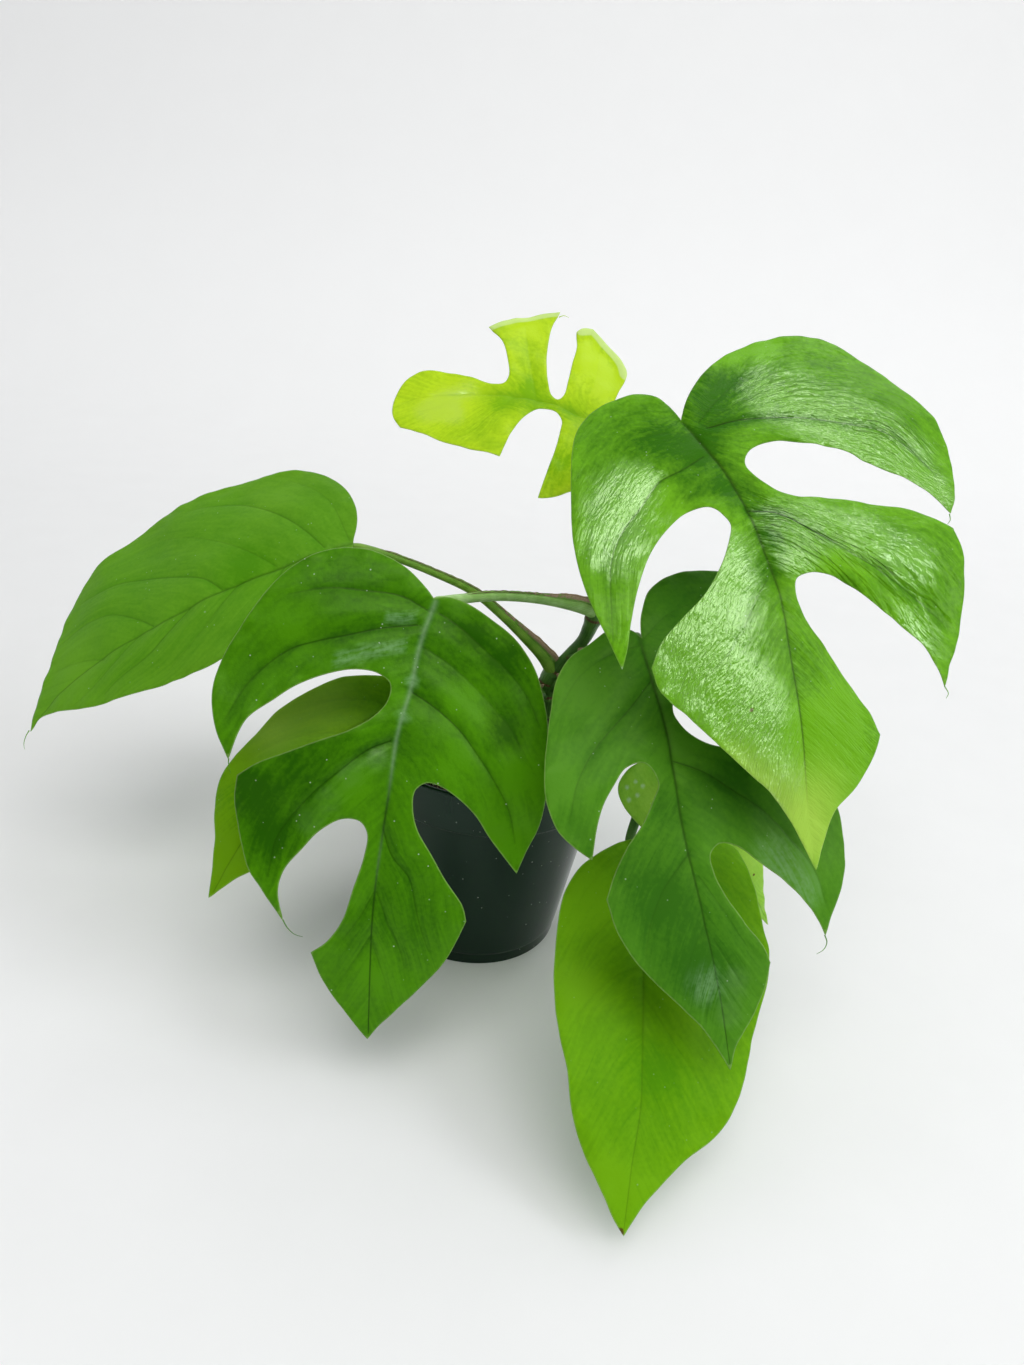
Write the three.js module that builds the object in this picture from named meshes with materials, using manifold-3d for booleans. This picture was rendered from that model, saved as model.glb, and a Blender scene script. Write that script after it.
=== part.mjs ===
// Potted mini monstera: a young split-leaf climber in a round nursery pot.
// Millimetres. +Z is up, the middle of the pot's underside is the origin, and -Y is the front.
import * as THREE from "three";
import Module from "manifold-3d";

const manifold = await Module();
manifold.setup();

// Driving dimensions: the pot
const POT_RIM_RADIUS = 50.8; // a four-inch pot
const POT_HEIGHT = 91.5;
const POT_WALL = 1.5;
const LIP_HEIGHT = 18.3;
const LIP_FOOT_RADIUS = 48.9;
const LIP_STEP = 0.7;
const FOOT_HEIGHT = 5.2;
const FOOT_RADIUS = 37.9;
const FOOT_STEP = 0.6;
const BASE_RADIUS = 37.0;
const DRAIN_HOLES = 6;
const DRAIN_RADIUS = 4.5;
const DRAIN_CIRCLE = 26;
const POT_SIDES = 48;

// Driving dimensions: the potting mix
const SEAT_GAP = 0.3;
const MIX_DEPTH_BELOW_RIM = 6;
const MIX_MOUND = 2.5;

// Driving dimensions: the plant
const BLADE_THICKNESS = 0.8;
const RIB_DEPTH = 1.3; // how far the midrib stands out under the blade
const EDGE_STEP = 6; // spacing of the points along a leaf's edge
const FIELD_STEP = 10.5; // spacing of the points inside a leaf
const LIMB_SIDES = 8;
const STEM_SIDES = 12;
const STALK_REACH = 7; // how far a stalk runs in under its blade
const STALK_END_RADIUS = 1.0;
const STALK_NECK_RADIUS = 1.8; // where it meets the blade's edge
const STEM_BASE = [22, 31];
const STEM_BASE_RADIUS = 4.6;
const ROOTED_DEPTH = 20;

// The main stem: a point of its path and its radius there. It thickens where a leaf stalk leaves it.
const STEM = [
  [[STEM_BASE[0], STEM_BASE[1], POT_HEIGHT - MIX_DEPTH_BELOW_RIM - ROOTED_DEPTH], 4.2],
  [[STEM_BASE[0], STEM_BASE[1], 70], STEM_BASE_RADIUS],
  [[STEM_BASE[0], STEM_BASE[1], 90], STEM_BASE_RADIUS],
  [[22.5, 30, 99], 4.3],
  [[23.5, 29, 107], 4.4],
  [[27, 27.5, 114], 2.7],
  [[31, 25.5, 121], 2.5],
  [[35, 23.5, 128], 2.7],
  [[37, 21.5, 135.5], 3.2],
  [[38.3, 19.5, 143], 3.7],
  [[39.5, 17, 151], 3.1],
  [[43, 13, 162], 2.7],
  [[46, 10, 172], 2.9],
  [[48, 8, 179], 2.0],
];

// Leaves. A blade lies round the chord from its base to its tip. Its upper face looks to the given
// azimuth and elevation, arch is how far the middle bows out, and droop bends the sides back.
// A point of an edge or midrib is [along the chord, across it], in mm, with right as seen from
// above positive. Each edge stretch is one smooth curve between two sharp corners. A stalk is its
// path from the middle of the stem, and it ends under the blade.
const LEAVES = {
  far_left: {
    base: [-63, 14, 163],
    tip: [-182, -22, 86],
    faces: [-112, 50],
    arch: 9,
    droop: 0.018,
    wave: [0.9, 47, 0.5],
    midrib: [[0, 0], [26, -2], [53, -4], [84, -5], [108, -6], [130, -4], [147, 1]],
    edge: [
      [
        [-1, -1], [-7, -12], [-8, -27], [-4, -40], [7, -52], [20, -57], [36, -61], [54, -63],
        [70, -62], [86, -59], [101, -55], [113, -47], [122, -37], [132, -22], [140, -11],
        [145, -4], [149, 2],
      ],
      [
        [149, 2], [143, 0], [136, 2], [120, 11], [103, 17], [90, 21], [71, 24], [52, 25],
        [32, 24], [14, 18], [3, 8], [-1, -1],
      ],
    ],
    stalk: [
      [[25, 28.5, 109], 3.6],
      [[19, 27.5, 117], 2.9],
      [[10, 26.5, 125.5], 2.3],
      [[-1, 24.7, 135.5], 2.0],
      [[-13, 22.7, 144.7], 1.8],
      [[-28, 20, 151.5], 1.6],
      [[-43, 17, 157.2], 1.6],
      [[-55, 15, 160.6], 1.8],
    ],
  },
  front_left: {
    base: [-22, -48, 167],
    tip: [-28, -114, 33],
    faces: [-84, 32],
    arch: 8,
    droop: 0.016,
    wave: [1.4, 52, 1.2],
    midrib: [
      [0, 0], [15, -3], [31, -4], [46, -6], [69, -6], [94, -6], [113, -5], [132, -3], [150, -1],
    ],
    edge: [
      [
        [-1, -1], [-4, -4], [-10, -12], [-14, -23], [-14, -33], [-11, -42], [-4, -51], [6, -58],
        [18, -64], [31, -69], [42, -70], [53, -67], [63, -61],
      ],
      [
        [63, -61], [49, -57], [41, -49], [35, -42], [30, -33], [27, -24], [27, -16], [30, -11],
        [36, -11], [42, -15], [48, -23], [52, -31], [58, -42], [63, -51], [68, -57],
      ],
      [[68, -57], [76, -57], [86, -54], [98, -49], [105, -43], [114, -35]],
      [
        [114, -35], [104, -38], [97, -37], [89, -32], [82, -27], [77, -20], [77, -14],
        [81, -11], [89, -11], [100, -13], [111, -15], [119, -19], [124, -24],
      ],
      [[124, -24], [133, -19], [142, -11], [152, -1]],
      [[152, -1], [147, 2], [138, 9], [129, 16], [121, 21], [113, 24], [106, 26]],
      [
        [106, 26], [101, 24], [93, 17], [85, 11], [77, 5], [70, 2.5], [64, 2.5], [61, 6],
        [62, 12], [69, 23], [77, 30], [88, 41],
      ],
      [
        [88, 41], [81, 43], [72, 46], [63, 47], [54, 46.5], [45, 45.5], [35, 44], [26, 41],
        [18, 37], [9, 29], [3, 19], [-1, 10], [-2, 4], [-1, -1],
      ],
    ],
    stalk: [
      [[38.3, 19.5, 143], 3.2],
      [[30, 13.5, 147], 2.7],
      [[15, 1, 153], 2.0],
      [[-1, -16, 159], 1.8],
      [[-13, -32, 163], 1.9],
      [[-19, -43, 165.5], 2.1],
    ],
  },
  low_left: {
    base: [-22, -46, 128],
    tip: [-92, -84, 60],
    faces: [-100, 40],
    arch: 6,
    droop: 0.016,
    wave: [1.2, 40, 2],
    midrib: [[0, 0], [15, -7], [34, -11], [61, -10], [87, -5], [104, 0]],
    edge: [
      [
        [0, 0], [1, -9], [6, -17], [13, -24], [20, -29], [31, -32], [42, -34], [56, -33.5],
        [68, -32], [75, -30], [81, -26], [92, -13], [106, 0],
      ],
      [
        [106, 0], [100, 1], [94, 2], [88, 4], [80, 7], [67, 9], [53, 10], [38, 11], [22, 11],
        [8, 7], [0, 0],
      ],
    ],
    stalk: [
      [[22.5, 30.5, 97], 3.4],
      [[14, 20, 103], 2.6],
      [[3, 3, 112], 2.0],
      [[-7, -18, 123], 1.8],
      [[-14, -32, 128.5], 1.9],
      [[-19, -41, 129.5], 2.0],
    ],
  },
  young_top: {
    base: [32, 40, 215],
    tip: [-50, 30, 216],
    faces: [-80, 55],
    arch: 3,
    droop: 0,
    wave: [1, 34, 0],
    midrib: [[0, 0], [5, -2], [11, -3], [17, -5.5], [22, -7], [38, -8], [55, -7], [70, -5], [81, -2]],
    edge: [
      [[0, 1], [-2, -4], [-4, -10], [-7, -18], [-11, -28], [-10, -34], [-7, -39], [-2, -44], [3, -49]],
      [[3, -49], [7, -48], [10, -46]],
      [
        [10, -46], [10, -38], [12, -29], [14, -19], [16, -11], [18.5, -8.8], [21, -11],
        [22.5, -17], [23, -28], [22, -40], [20, -50], [17, -56],
      ],
      [[17, -56], [23, -54.5], [29, -52], [35, -49], [41, -45.5], [47, -42]],
      [
        [47, -42], [43, -39], [40, -32], [38.5, -24], [38.5, -17], [40.5, -13.5], [45, -13],
        [51, -15], [58, -17], [66, -18], [74, -17.5], [79, -13], [82, -7], [83.5, 0], [83, 6],
        [80, 11],
      ],
      [[80, 11], [74, 13.5], [64, 18], [54, 21.5], [42, 25]],
      [
        [42, 25], [40, 19], [37, 11], [33, 4], [28, -1.5], [23, -3.2], [19, -1.8], [17, 2],
        [18, 9], [20, 18], [23, 28], [27, 42],
      ],
      [[27, 42], [21, 41], [14, 38]],
      [[14, 38], [10, 28], [7, 18], [4, 9], [0, 1]],
    ],
    stalk: [
      [[46.5, 10, 174], 2.2],
      [[43.5, 16, 184], 1.9],
      [[45, 26, 197], 1.6],
      [[42, 35, 208], 1.5],
      [[36, 39, 213], 1.6],
    ],
  },
  upper_right: {
    base: [56, -14, 230],
    tip: [107, -108, 118],
    faces: [-82, 30],
    arch: 10,
    droop: 0.014,
    wave: [1.2, 58, 0.8],
    midrib: [
      [0, 0], [13, 4], [26, 8], [39, 10], [53, 10.5], [70, 11], [87, 9], [104, 7], [119, 5],
      [136, 2], [154, 0],
    ],
    edge: [
      [
        [-1, 0], [-8, -3], [-14, -8], [-15, -17], [-12, -28], [-5, -36], [5, -41], [23, -46],
        [37, -49], [52, -50], [64, -49], [74, -47], [83, -45],
      ],
      [
        [83, -45], [77, -42], [69, -39], [57, -33], [47, -26], [40, -18], [36, -10], [36, -3],
        [40, 1], [44, 2], [52, -2], [59, -7], [66, -14], [72, -23], [78, -31], [85, -36],
      ],
      [[85, -36], [93, -35], [102, -29], [113, -22], [123, -15], [133, -8], [143, -4], [157, 0]],
      [[157, 0], [148, 5], [141, 10], [135, 19], [127, 27], [121, 31]],
      [
        [121, 31], [113, 29], [103, 25], [94, 22], [86, 19], [78, 16.5], [71, 16], [66, 18],
        [65, 23], [67, 29], [72, 35], [79, 42], [88, 50], [97, 57], [110, 59],
      ],
      [[110, 59], [104, 63], [95, 70], [85, 75], [75, 79], [65, 82], [57, 82]],
      [
        [57, 82], [49, 71], [44, 56], [39, 40], [36, 27], [31, 20], [26, 16], [21, 15],
        [17, 18], [15, 27], [17, 38], [21, 50], [29, 62], [36, 74], [44, 81], [51, 84],
      ],
      [
        [51, 84], [46, 88], [35, 93], [22, 95], [10, 94], [-2, 89], [-12, 84], [-22, 78],
        [-30, 71], [-34, 60], [-33, 44], [-27, 26], [-18, 13], [-8, 4], [-1, 0],
      ],
    ],
    stalk: [
      [[45.5, 11, 167], 2.7],
      [[51.5, 5, 181], 2.2],
      [[55, 0, 202], 1.9],
      [[56.5, -5, 219], 2.0],
      [[57, -10, 226], 2.1],
    ],
  },
  front_right: {
    base: [49, -46, 162],
    tip: [89, -132, 55],
    faces: [-80, 35],
    arch: 9,
    droop: 0.014,
    wave: [1.4, 50, 2.2],
    midrib: [[0, 0], [15, 0], [38, 0], [67, -2], [96, -1], [120, 0], [143, 0]],
    edge: [
      [
        [1, 1], [-2, -2], [-3, -10], [1, -18], [5, -26], [12, -32], [22, -36], [33, -40], [45, -43.5],
        [54, -44], [62, -42], [68, -38], [73, -33],
      ],
      [
        [73, -33], [64, -30], [56, -26], [51, -22], [46, -17], [45, -11], [48, -8], [53, -7],
        [58, -10], [65, -15], [71, -21], [79, -27], [86, -31],
      ],
      [[86, -31], [95, -30], [105, -26], [114, -20], [123, -13], [131, -7], [145, 0]],
      [[145, 0], [138, 3], [131, 9], [123, 15], [115, 19]],
      [
        [115, 19], [109, 17], [101, 12], [93, 8], [84, 5], [78, 5], [75, 9], [77, 15],
        [83, 21], [91, 29], [99, 35], [104, 38], [110, 40],
      ],
      [[110, 40], [103, 44], [95, 49], [84, 53], [72, 55], [62, 53]],
      [
        [62, 53], [54, 44], [48, 32], [45, 20], [42, 12], [37, 6.5], [31, 4], [26, 5],
        [23, 11], [23, 21], [27, 32], [34, 43], [42, 51],
      ],
      [
        [42, 51], [32, 58], [18, 61], [4, 60], [-9, 55], [-18, 47], [-22, 37], [-23, 25],
        [-21, 16], [-16, 8], [-9.5, 4], [-5, 2], [1, 1],
      ],
    ],
    stalk: [
      [[39.6, 16.8, 152], 2.8],
      [[42, 7, 150], 2.3],
      [[44.5, -12, 150], 1.9],
      [[46.5, -28, 154], 1.9],
      [[48, -38, 157], 2.0],
    ],
  },
  low_right: {
    base: [58, -52, 82],
    tip: [60, -162, 12],
    faces: [-80, 52],
    arch: 9,
    droop: 0.018,
    wave: [1.5, 44, 1],
    midrib: [[0, 0], [20, 2], [56, 3], [83, 3], [96, 3], [113, 1], [130, 0]],
    edge: [
      [
        [0, 0], [3, -5], [9, -13], [16, -20], [26, -25], [36, -27], [54, -28], [64, -27],
        [75, -25], [86, -22], [100, -19], [111, -14], [119, -9], [127, -4], [132, 0],
      ],
      [
        [132, 0], [124, 5], [116, 12], [109, 19], [101, 29], [92, 35], [79, 40], [68, 43],
        [58, 46], [48, 49], [38, 51], [28, 50.5], [17, 49], [7, 46.5], [-3, 42.5], [-6, 37],
        [-2, 29], [2, 20], [3, 10], [0, 0],
      ],
    ],
    stalk: [
      [[23, 30, 101], 3.4],
      [[37, 17, 113], 2.4],
      [[52, -3, 119], 1.9],
      [[60, -21, 112], 1.8],
      [[61, -34, 100], 1.8],
      [[60, -43, 88], 1.9],
    ],
  },
  back_right: {
    base: [84, -31, 98],
    tip: [124, -29, 33],
    faces: [-60, 36],
    arch: 4,
    droop: 0.016,
    wave: [1, 36, 0],
    midrib: [[0, 0], [18, -1], [40, -2], [60, -2], [75, 0]],
    edge: [
      [[0, 0], [-8, 0], [-15, -5], [-20, -13], [-23, -22], [-20, -31], [-13, -33], [-3, -32]],
      [
        [-3, -32], [-1, -26], [4, -22], [13, -20], [25, -19], [36, -17], [47, -13], [58, -8.5],
        [68, -4], [79, 0],
      ],
      [
        [79, 0], [68, 1.5], [59, 4], [50, 7], [41, 12], [29, 17], [16, 18], [5, 14], [-2, 7],
        [0, 0],
      ],
    ],
    stalk: [
      [[30, 26, 119], 2.5],
      [[44, 16, 125], 2.1],
      [[59, 2, 123], 1.7],
      [[69, -12, 111], 1.7],
      [[75, -20, 102.5], 1.7],
      [[79.5, -26, 98], 1.8],
    ],
  },
};

// Plain colours for each kind of piece
const COLOURS = {
  pot: 0x2a382c,
  mix: 0x3a2c20,
  stem: 0x3f7022,
  stalk: 0x6c9a3a,
  blade: 0x3f8a1c,
  young: 0xa8c815,
};

// A closed mesh from points and triangles
function meshOf(points, triangles) {
  const geometry = new THREE.BufferGeometry();
  geometry.setAttribute("position", new THREE.Float32BufferAttribute(points.flat(), 3));
  geometry.setIndex(triangles.flat());
  return geometry;
}

// The same geometry as a solid that can be joined and cut, and back again
function toSolid(geometry) {
  const position = geometry.getAttribute("position");
  const mesh = new manifold.Mesh({
    numProp: 3,
    vertProperties: new Float32Array(position.array),
    triVerts: new Uint32Array(geometry.index.array),
  });
  mesh.merge();
  return new manifold.Manifold(mesh);
}

function toGeometry(solid) {
  const mesh = solid.getMesh();
  const geometry = new THREE.BufferGeometry();
  geometry.setAttribute("position", new THREE.BufferAttribute(mesh.vertProperties, 3));
  geometry.setIndex(new THREE.BufferAttribute(mesh.triVerts, 1));
  return geometry;
}

// Turns a closed profile of [radius, height] round the Z axis
function turned(profile, sides) {
  const points = profile.map(([radius, height]) => new THREE.Vector2(radius, height));
  const geometry = new THREE.LatheGeometry(points, sides);
  geometry.rotateX(Math.PI / 2);
  return weld(geometry);
}

// Joins the points of a geometry that lie at the same place, and drops triangles without area
function weld(geometry) {
  const position = geometry.getAttribute("position");
  const index = geometry.index ? geometry.index.array : [...Array(position.count).keys()];
  const seen = new Map();
  const points = [];
  const renamed = [];
  for (let i = 0; i < position.count; i++) {
    const point = [position.getX(i), position.getY(i), position.getZ(i)];
    const key = point.map((value) => Math.round(value * 1000)).join();
    if (!seen.has(key)) {
      seen.set(key, points.length);
      points.push(point);
    }
    renamed.push(seen.get(key));
  }
  const triangles = [];
  for (let i = 0; i < index.length; i += 3) {
    const [a, b, c] = [renamed[index[i]], renamed[index[i + 1]], renamed[index[i + 2]]];
    if (a !== b && b !== c && a !== c) triangles.push([a, b, c]);
  }
  return meshOf(points, triangles);
}

// A stem or stalk: rings of a changing radius along a smooth path, closed at both ends
function limb(path, sides = LIMB_SIDES, steps = 2 * path.length) {
  const line = new THREE.CatmullRomCurve3(path.map(([point]) => new THREE.Vector3(...point)));
  const radii = new THREE.CatmullRomCurve3(
    path.map(([, radius], i) => new THREE.Vector3(radius, i, 0)),
  );
  const frames = line.computeFrenetFrames(steps, false);
  const points = [];
  const triangles = [];
  for (let i = 0; i <= steps; i++) {
    const t = line.getUtoTmapping(i / steps);
    const centre = line.getPoint(t);
    const radius = radii.getPoint(t).x;
    for (let k = 0; k < sides; k++) {
      const turn = (2 * Math.PI * k) / sides;
      const out = frames.normals[i]
        .clone()
        .multiplyScalar(Math.cos(turn) * radius)
        .addScaledVector(frames.binormals[i], Math.sin(turn) * radius);
      points.push(centre.clone().add(out).toArray());
    }
  }
  for (let i = 0; i < steps; i++) {
    for (let k = 0; k < sides; k++) {
      const [a, b] = [i * sides + k, i * sides + ((k + 1) % sides)];
      triangles.push([a, b, a + sides], [b, b + sides, a + sides]);
    }
  }
  for (let k = 1; k < sides - 1; k++) {
    triangles.push([0, k + 1, k]);
    triangles.push([steps * sides, steps * sides + k, steps * sides + k + 1]);
  }
  return meshOf(points, triangles);
}

// The blade's own directions: along the chord, across it, and out of its upper face
function frameOf(leaf) {
  const base = new THREE.Vector3(...leaf.base);
  const along = new THREE.Vector3(...leaf.tip).sub(base);
  const length = along.length();
  along.normalize();
  const [azimuth, elevation] = leaf.faces.map(THREE.MathUtils.degToRad);
  const out = new THREE.Vector3(
    Math.cos(azimuth) * Math.cos(elevation),
    Math.sin(azimuth) * Math.cos(elevation),
    Math.sin(elevation),
  );
  out.addScaledVector(along, -out.dot(along)).normalize();
  const across = new THREE.Vector3().crossVectors(out, along);
  return { base, along, across, out, length };
}

// How far the blade's surface stands out of the flat at a point of it
function bow(leaf, length, u, v) {
  const [height, period, phase] = leaf.wave;
  const side = Math.abs(v);
  const ripple = height * Math.min(1, side / 50) * Math.sin((2 * Math.PI * u) / period + phase);
  return (leaf.arch * 4 * u * (length - u)) / length ** 2 - leaf.droop * side ** 1.5 + ripple;
}

function onBlade(leaf, frame, [u, v], lift = 0) {
  return frame.base
    .clone()
    .addScaledVector(frame.along, u)
    .addScaledVector(frame.across, v)
    .addScaledVector(frame.out, bow(leaf, frame.length, u, v) + lift);
}

// Points at even spacing along a smooth curve, without its last one
function along(stretch, step) {
  const curve = new THREE.CatmullRomCurve3(
    stretch.map(([u, v]) => new THREE.Vector3(u, v, 0)),
    false,
    "centripetal",
  );
  const count = Math.max(2, Math.round(curve.getLength() / step));
  const points = curve.getSpacedPoints(count).map((point) => [point.x, point.y]);
  return points.slice(0, -1);
}

function distance([u0, v0], [u1, v1]) {
  return Math.hypot(u0 - u1, v0 - v1);
}

function inside([u, v], outline) {
  let within = false;
  outline.forEach(([u0, v0], i) => {
    const [u1, v1] = outline[(i + 1) % outline.length];
    if (v0 > v !== v1 > v && u < ((u1 - u0) * (v - v0)) / (v1 - v0) + u0) within = !within;
  });
  return within;
}

// Points of the outline, of the midrib and of an even field between them
function bladePoints(leaf) {
  const outline = leaf.edge.flatMap((stretch) => along(stretch, EDGE_STEP));
  const clear = (point, others, least) => others.every((other) => distance(point, other) > least);
  const rib = along(leaf.midrib, FIELD_STEP).filter(
    (point) => inside(point, outline) && clear(point, outline, 0.4 * EDGE_STEP),
  );
  const field = [];
  let row = 0;
  for (let v = -100; v <= 100; v += FIELD_STEP * 0.866) {
    row += 1;
    for (let u = -50 + (row % 2) * 0.5 * FIELD_STEP; u <= 170; u += FIELD_STEP) {
      const point = [u + 0.37 * Math.sin(3 * v + u), v + 0.37 * Math.cos(5 * u)];
      if (
        inside(point, outline) &&
        clear(point, outline, 0.75 * EDGE_STEP) &&
        clear(point, rib, 0.6 * FIELD_STEP)
      )
        field.push(point);
    }
  }
  return { outline, rib, field };
}

// The triangles that join a cloud of flat points, each with no other point in its circle
function delaunay(cloud) {
  const far = 1e4;
  const points = [...cloud, [-far, -far], [far, -far], [0, far]];
  const first = cloud.length;
  const circle = (a, b, c) => {
    const [[ax, ay], [bx, by], [cx, cy]] = [points[a], points[b], points[c]];
    const twice = 2 * (ax * (by - cy) + bx * (cy - ay) + cx * (ay - by));
    const [as, bs, cs] = [ax * ax + ay * ay, bx * bx + by * by, cx * cx + cy * cy];
    const x = (as * (by - cy) + bs * (cy - ay) + cs * (ay - by)) / twice;
    const y = (as * (cx - bx) + bs * (ax - cx) + cs * (bx - ax)) / twice;
    return { corners: [a, b, c], x, y, square: (ax - x) ** 2 + (ay - y) ** 2 };
  };
  let circles = [circle(first, first + 1, first + 2)];
  cloud.forEach(([x, y], i) => {
    const edges = new Map();
    const kept = [];
    for (const each of circles) {
      if ((x - each.x) ** 2 + (y - each.y) ** 2 > each.square) {
        kept.push(each);
        continue;
      }
      const [a, b, c] = each.corners;
      for (const [p, q] of [[a, b], [b, c], [c, a]]) {
        if (!edges.delete(q + "," + p)) edges.set(p + "," + q, [p, q]);
      }
    }
    for (const [p, q] of edges.values()) kept.push(circle(p, q, i));
    circles = kept;
  });
  return circles.map(({ corners }) => corners).filter((corners) => Math.max(...corners) < first);
}

// A blade: one sheet of triangles, given its thickness on both sides and closed round its edge
function blade(leaf) {
  const frame = frameOf(leaf);
  const { outline, rib, field } = bladePoints(leaf);
  const cloud = [...outline, ...rib, ...field];
  const isRib = (i) => i >= outline.length && i < outline.length + rib.length;
  const middle = ([a, b, c]) => [0, 1].map((k) => (cloud[a][k] + cloud[b][k] + cloud[c][k]) / 3);
  const sheet = delaunay(cloud).filter((corners) => inside(middle(corners), outline));
  const skin = cloud.map((point) => onBlade(leaf, frame, point));
  const normals = cloud.map(() => new THREE.Vector3());
  for (const [a, b, c] of sheet) {
    const face = new THREE.Vector3().crossVectors(
      skin[b].clone().sub(skin[a]),
      skin[c].clone().sub(skin[a]),
    );
    for (const corner of [a, b, c]) normals[corner].add(face);
  }
  const sign = normals[0].dot(frame.out) > 0 ? 1 : -1;
  const top = [];
  const bottom = [];
  cloud.forEach((point, i) => {
    const out = normals[i].normalize().multiplyScalar(sign);
    const below = BLADE_THICKNESS / 2 + (isRib(i) ? RIB_DEPTH : 0);
    top.push(skin[i].clone().addScaledVector(out, BLADE_THICKNESS / 2).toArray());
    bottom.push(skin[i].clone().addScaledVector(out, -below).toArray());
  });
  const count = cloud.length;
  const triangles = [];
  const edges = new Map();
  for (const [a, b, c] of sheet) {
    const upward = sign > 0 ? [a, b, c] : [a, c, b];
    triangles.push(upward);
    triangles.push(upward.map((corner) => corner + count).reverse());
    const [p, q, r] = upward;
    for (const [from, to] of [[p, q], [q, r], [r, p]]) {
      if (!edges.delete(to + "," + from)) edges.set(from + "," + to, [from, to]);
    }
  }
  for (const [from, to] of edges.values()) {
    triangles.push([from, from + count, to], [to, from + count, to + count]);
  }
  return meshOf([...top, ...bottom], triangles);
}

// A leaf stalk runs in under its blade, and is cut back where it meets the stem
function stalk(leaf, fattenedStem) {
  const frame = frameOf(leaf);
  const under = BLADE_THICKNESS / 2 + SEAT_GAP;
  const [, inward] = leaf.midrib;
  const end = inward.map((value) => (value * STALK_REACH) / Math.hypot(...inward));
  const run = [
    ...leaf.stalk,
    [onBlade(leaf, frame, [0, 0], -under - 1.4 * STALK_NECK_RADIUS).toArray(), STALK_NECK_RADIUS],
    [onBlade(leaf, frame, end, -under - RIB_DEPTH - 0.75).toArray(), STALK_END_RADIUS],
  ];
  const cut = toSolid(limb(run)).subtract(fattenedStem);
  const [largest] = cut.decompose().sort((a, b) => b.volume() - a.volume());
  return toGeometry(largest);
}

// The pot: a tapered cup with a deep lip, a foot ring and a flat base with drain holes
function pot() {
  const lipBottom = POT_HEIGHT - LIP_HEIGHT;
  const profile = [
    [0, 0],
    [BASE_RADIUS, 0],
    [FOOT_RADIUS - FOOT_STEP, FOOT_HEIGHT],
    [FOOT_RADIUS, FOOT_HEIGHT + 0.6],
    [LIP_FOOT_RADIUS - LIP_STEP, lipBottom - 0.5],
    [LIP_FOOT_RADIUS, lipBottom],
    [POT_RIM_RADIUS - 0.3, POT_HEIGHT - 0.8],
    [POT_RIM_RADIUS - 0.5, POT_HEIGHT],
    [POT_RIM_RADIUS - POT_WALL + 0.2, POT_HEIGHT],
    [LIP_FOOT_RADIUS - LIP_STEP - POT_WALL, lipBottom],
    [BASE_RADIUS - POT_WALL + 0.2, POT_WALL + 0.6],
    [BASE_RADIUS - POT_WALL - 1, POT_WALL],
    [0, POT_WALL],
    [0, 0],
  ];
  let solid = toSolid(turned(profile, POT_SIDES));
  for (let i = 0; i < DRAIN_HOLES; i++) {
    const turn = (2 * Math.PI * (i + 0.5)) / DRAIN_HOLES;
    const hole = new THREE.CylinderGeometry(DRAIN_RADIUS, DRAIN_RADIUS, 4 * POT_WALL, 18);
    hole.rotateX(Math.PI / 2);
    hole.translate(DRAIN_CIRCLE * Math.cos(turn), DRAIN_CIRCLE * Math.sin(turn), POT_WALL / 2);
    solid = solid.subtract(toSolid(weld(hole)));
  }
  return toGeometry(solid);
}

// The potting mix fills the pot to just below its rim, with a plain hole for the stem
function pottingMix() {
  const lipBottom = POT_HEIGHT - LIP_HEIGHT;
  const level = POT_HEIGHT - MIX_DEPTH_BELOW_RIM;
  const inner = POT_WALL + SEAT_GAP;
  const slope = (POT_RIM_RADIUS - LIP_FOOT_RADIUS) / LIP_HEIGHT;
  const profile = [
    [0, inner],
    [BASE_RADIUS - inner - 1, inner],
    [LIP_FOOT_RADIUS - LIP_STEP - inner - 0.1, lipBottom],
    [LIP_FOOT_RADIUS - LIP_STEP - inner + slope * (level - lipBottom), level - 1],
    [LIP_FOOT_RADIUS - LIP_STEP - inner + slope * (level - lipBottom) - 2, level],
    [30, level + 0.7 * MIX_MOUND],
    [14, level + MIX_MOUND],
    [0, level + MIX_MOUND],
    [0, inner],
  ];
  const depth = level - ROOTED_DEPTH - SEAT_GAP;
  const hole = new THREE.CylinderGeometry(
    STEM_BASE_RADIUS + SEAT_GAP + 0.2,
    STEM_BASE_RADIUS + SEAT_GAP + 0.2,
    ROOTED_DEPTH + 30,
    2 * LIMB_SIDES,
  );
  hole.rotateX(Math.PI / 2);
  hole.translate(STEM_BASE[0], STEM_BASE[1], depth + (ROOTED_DEPTH + 30) / 2);
  return toGeometry(toSolid(turned(profile, POT_SIDES)).subtract(toSolid(weld(hole))));
}

const group = new THREE.Group();
group.name = "potted_mini_monstera";

function add(name, geometry, colour) {
  const material = new THREE.MeshStandardMaterial({ color: colour, roughness: 0.5 });
  const mesh = new THREE.Mesh(geometry, material);
  mesh.name = name;
  group.add(mesh);
}

add("pot", pot(), COLOURS.pot);
add("potting_mix", pottingMix(), COLOURS.mix);
add("stem", limb(STEM, STEM_SIDES), COLOURS.stem);

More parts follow.
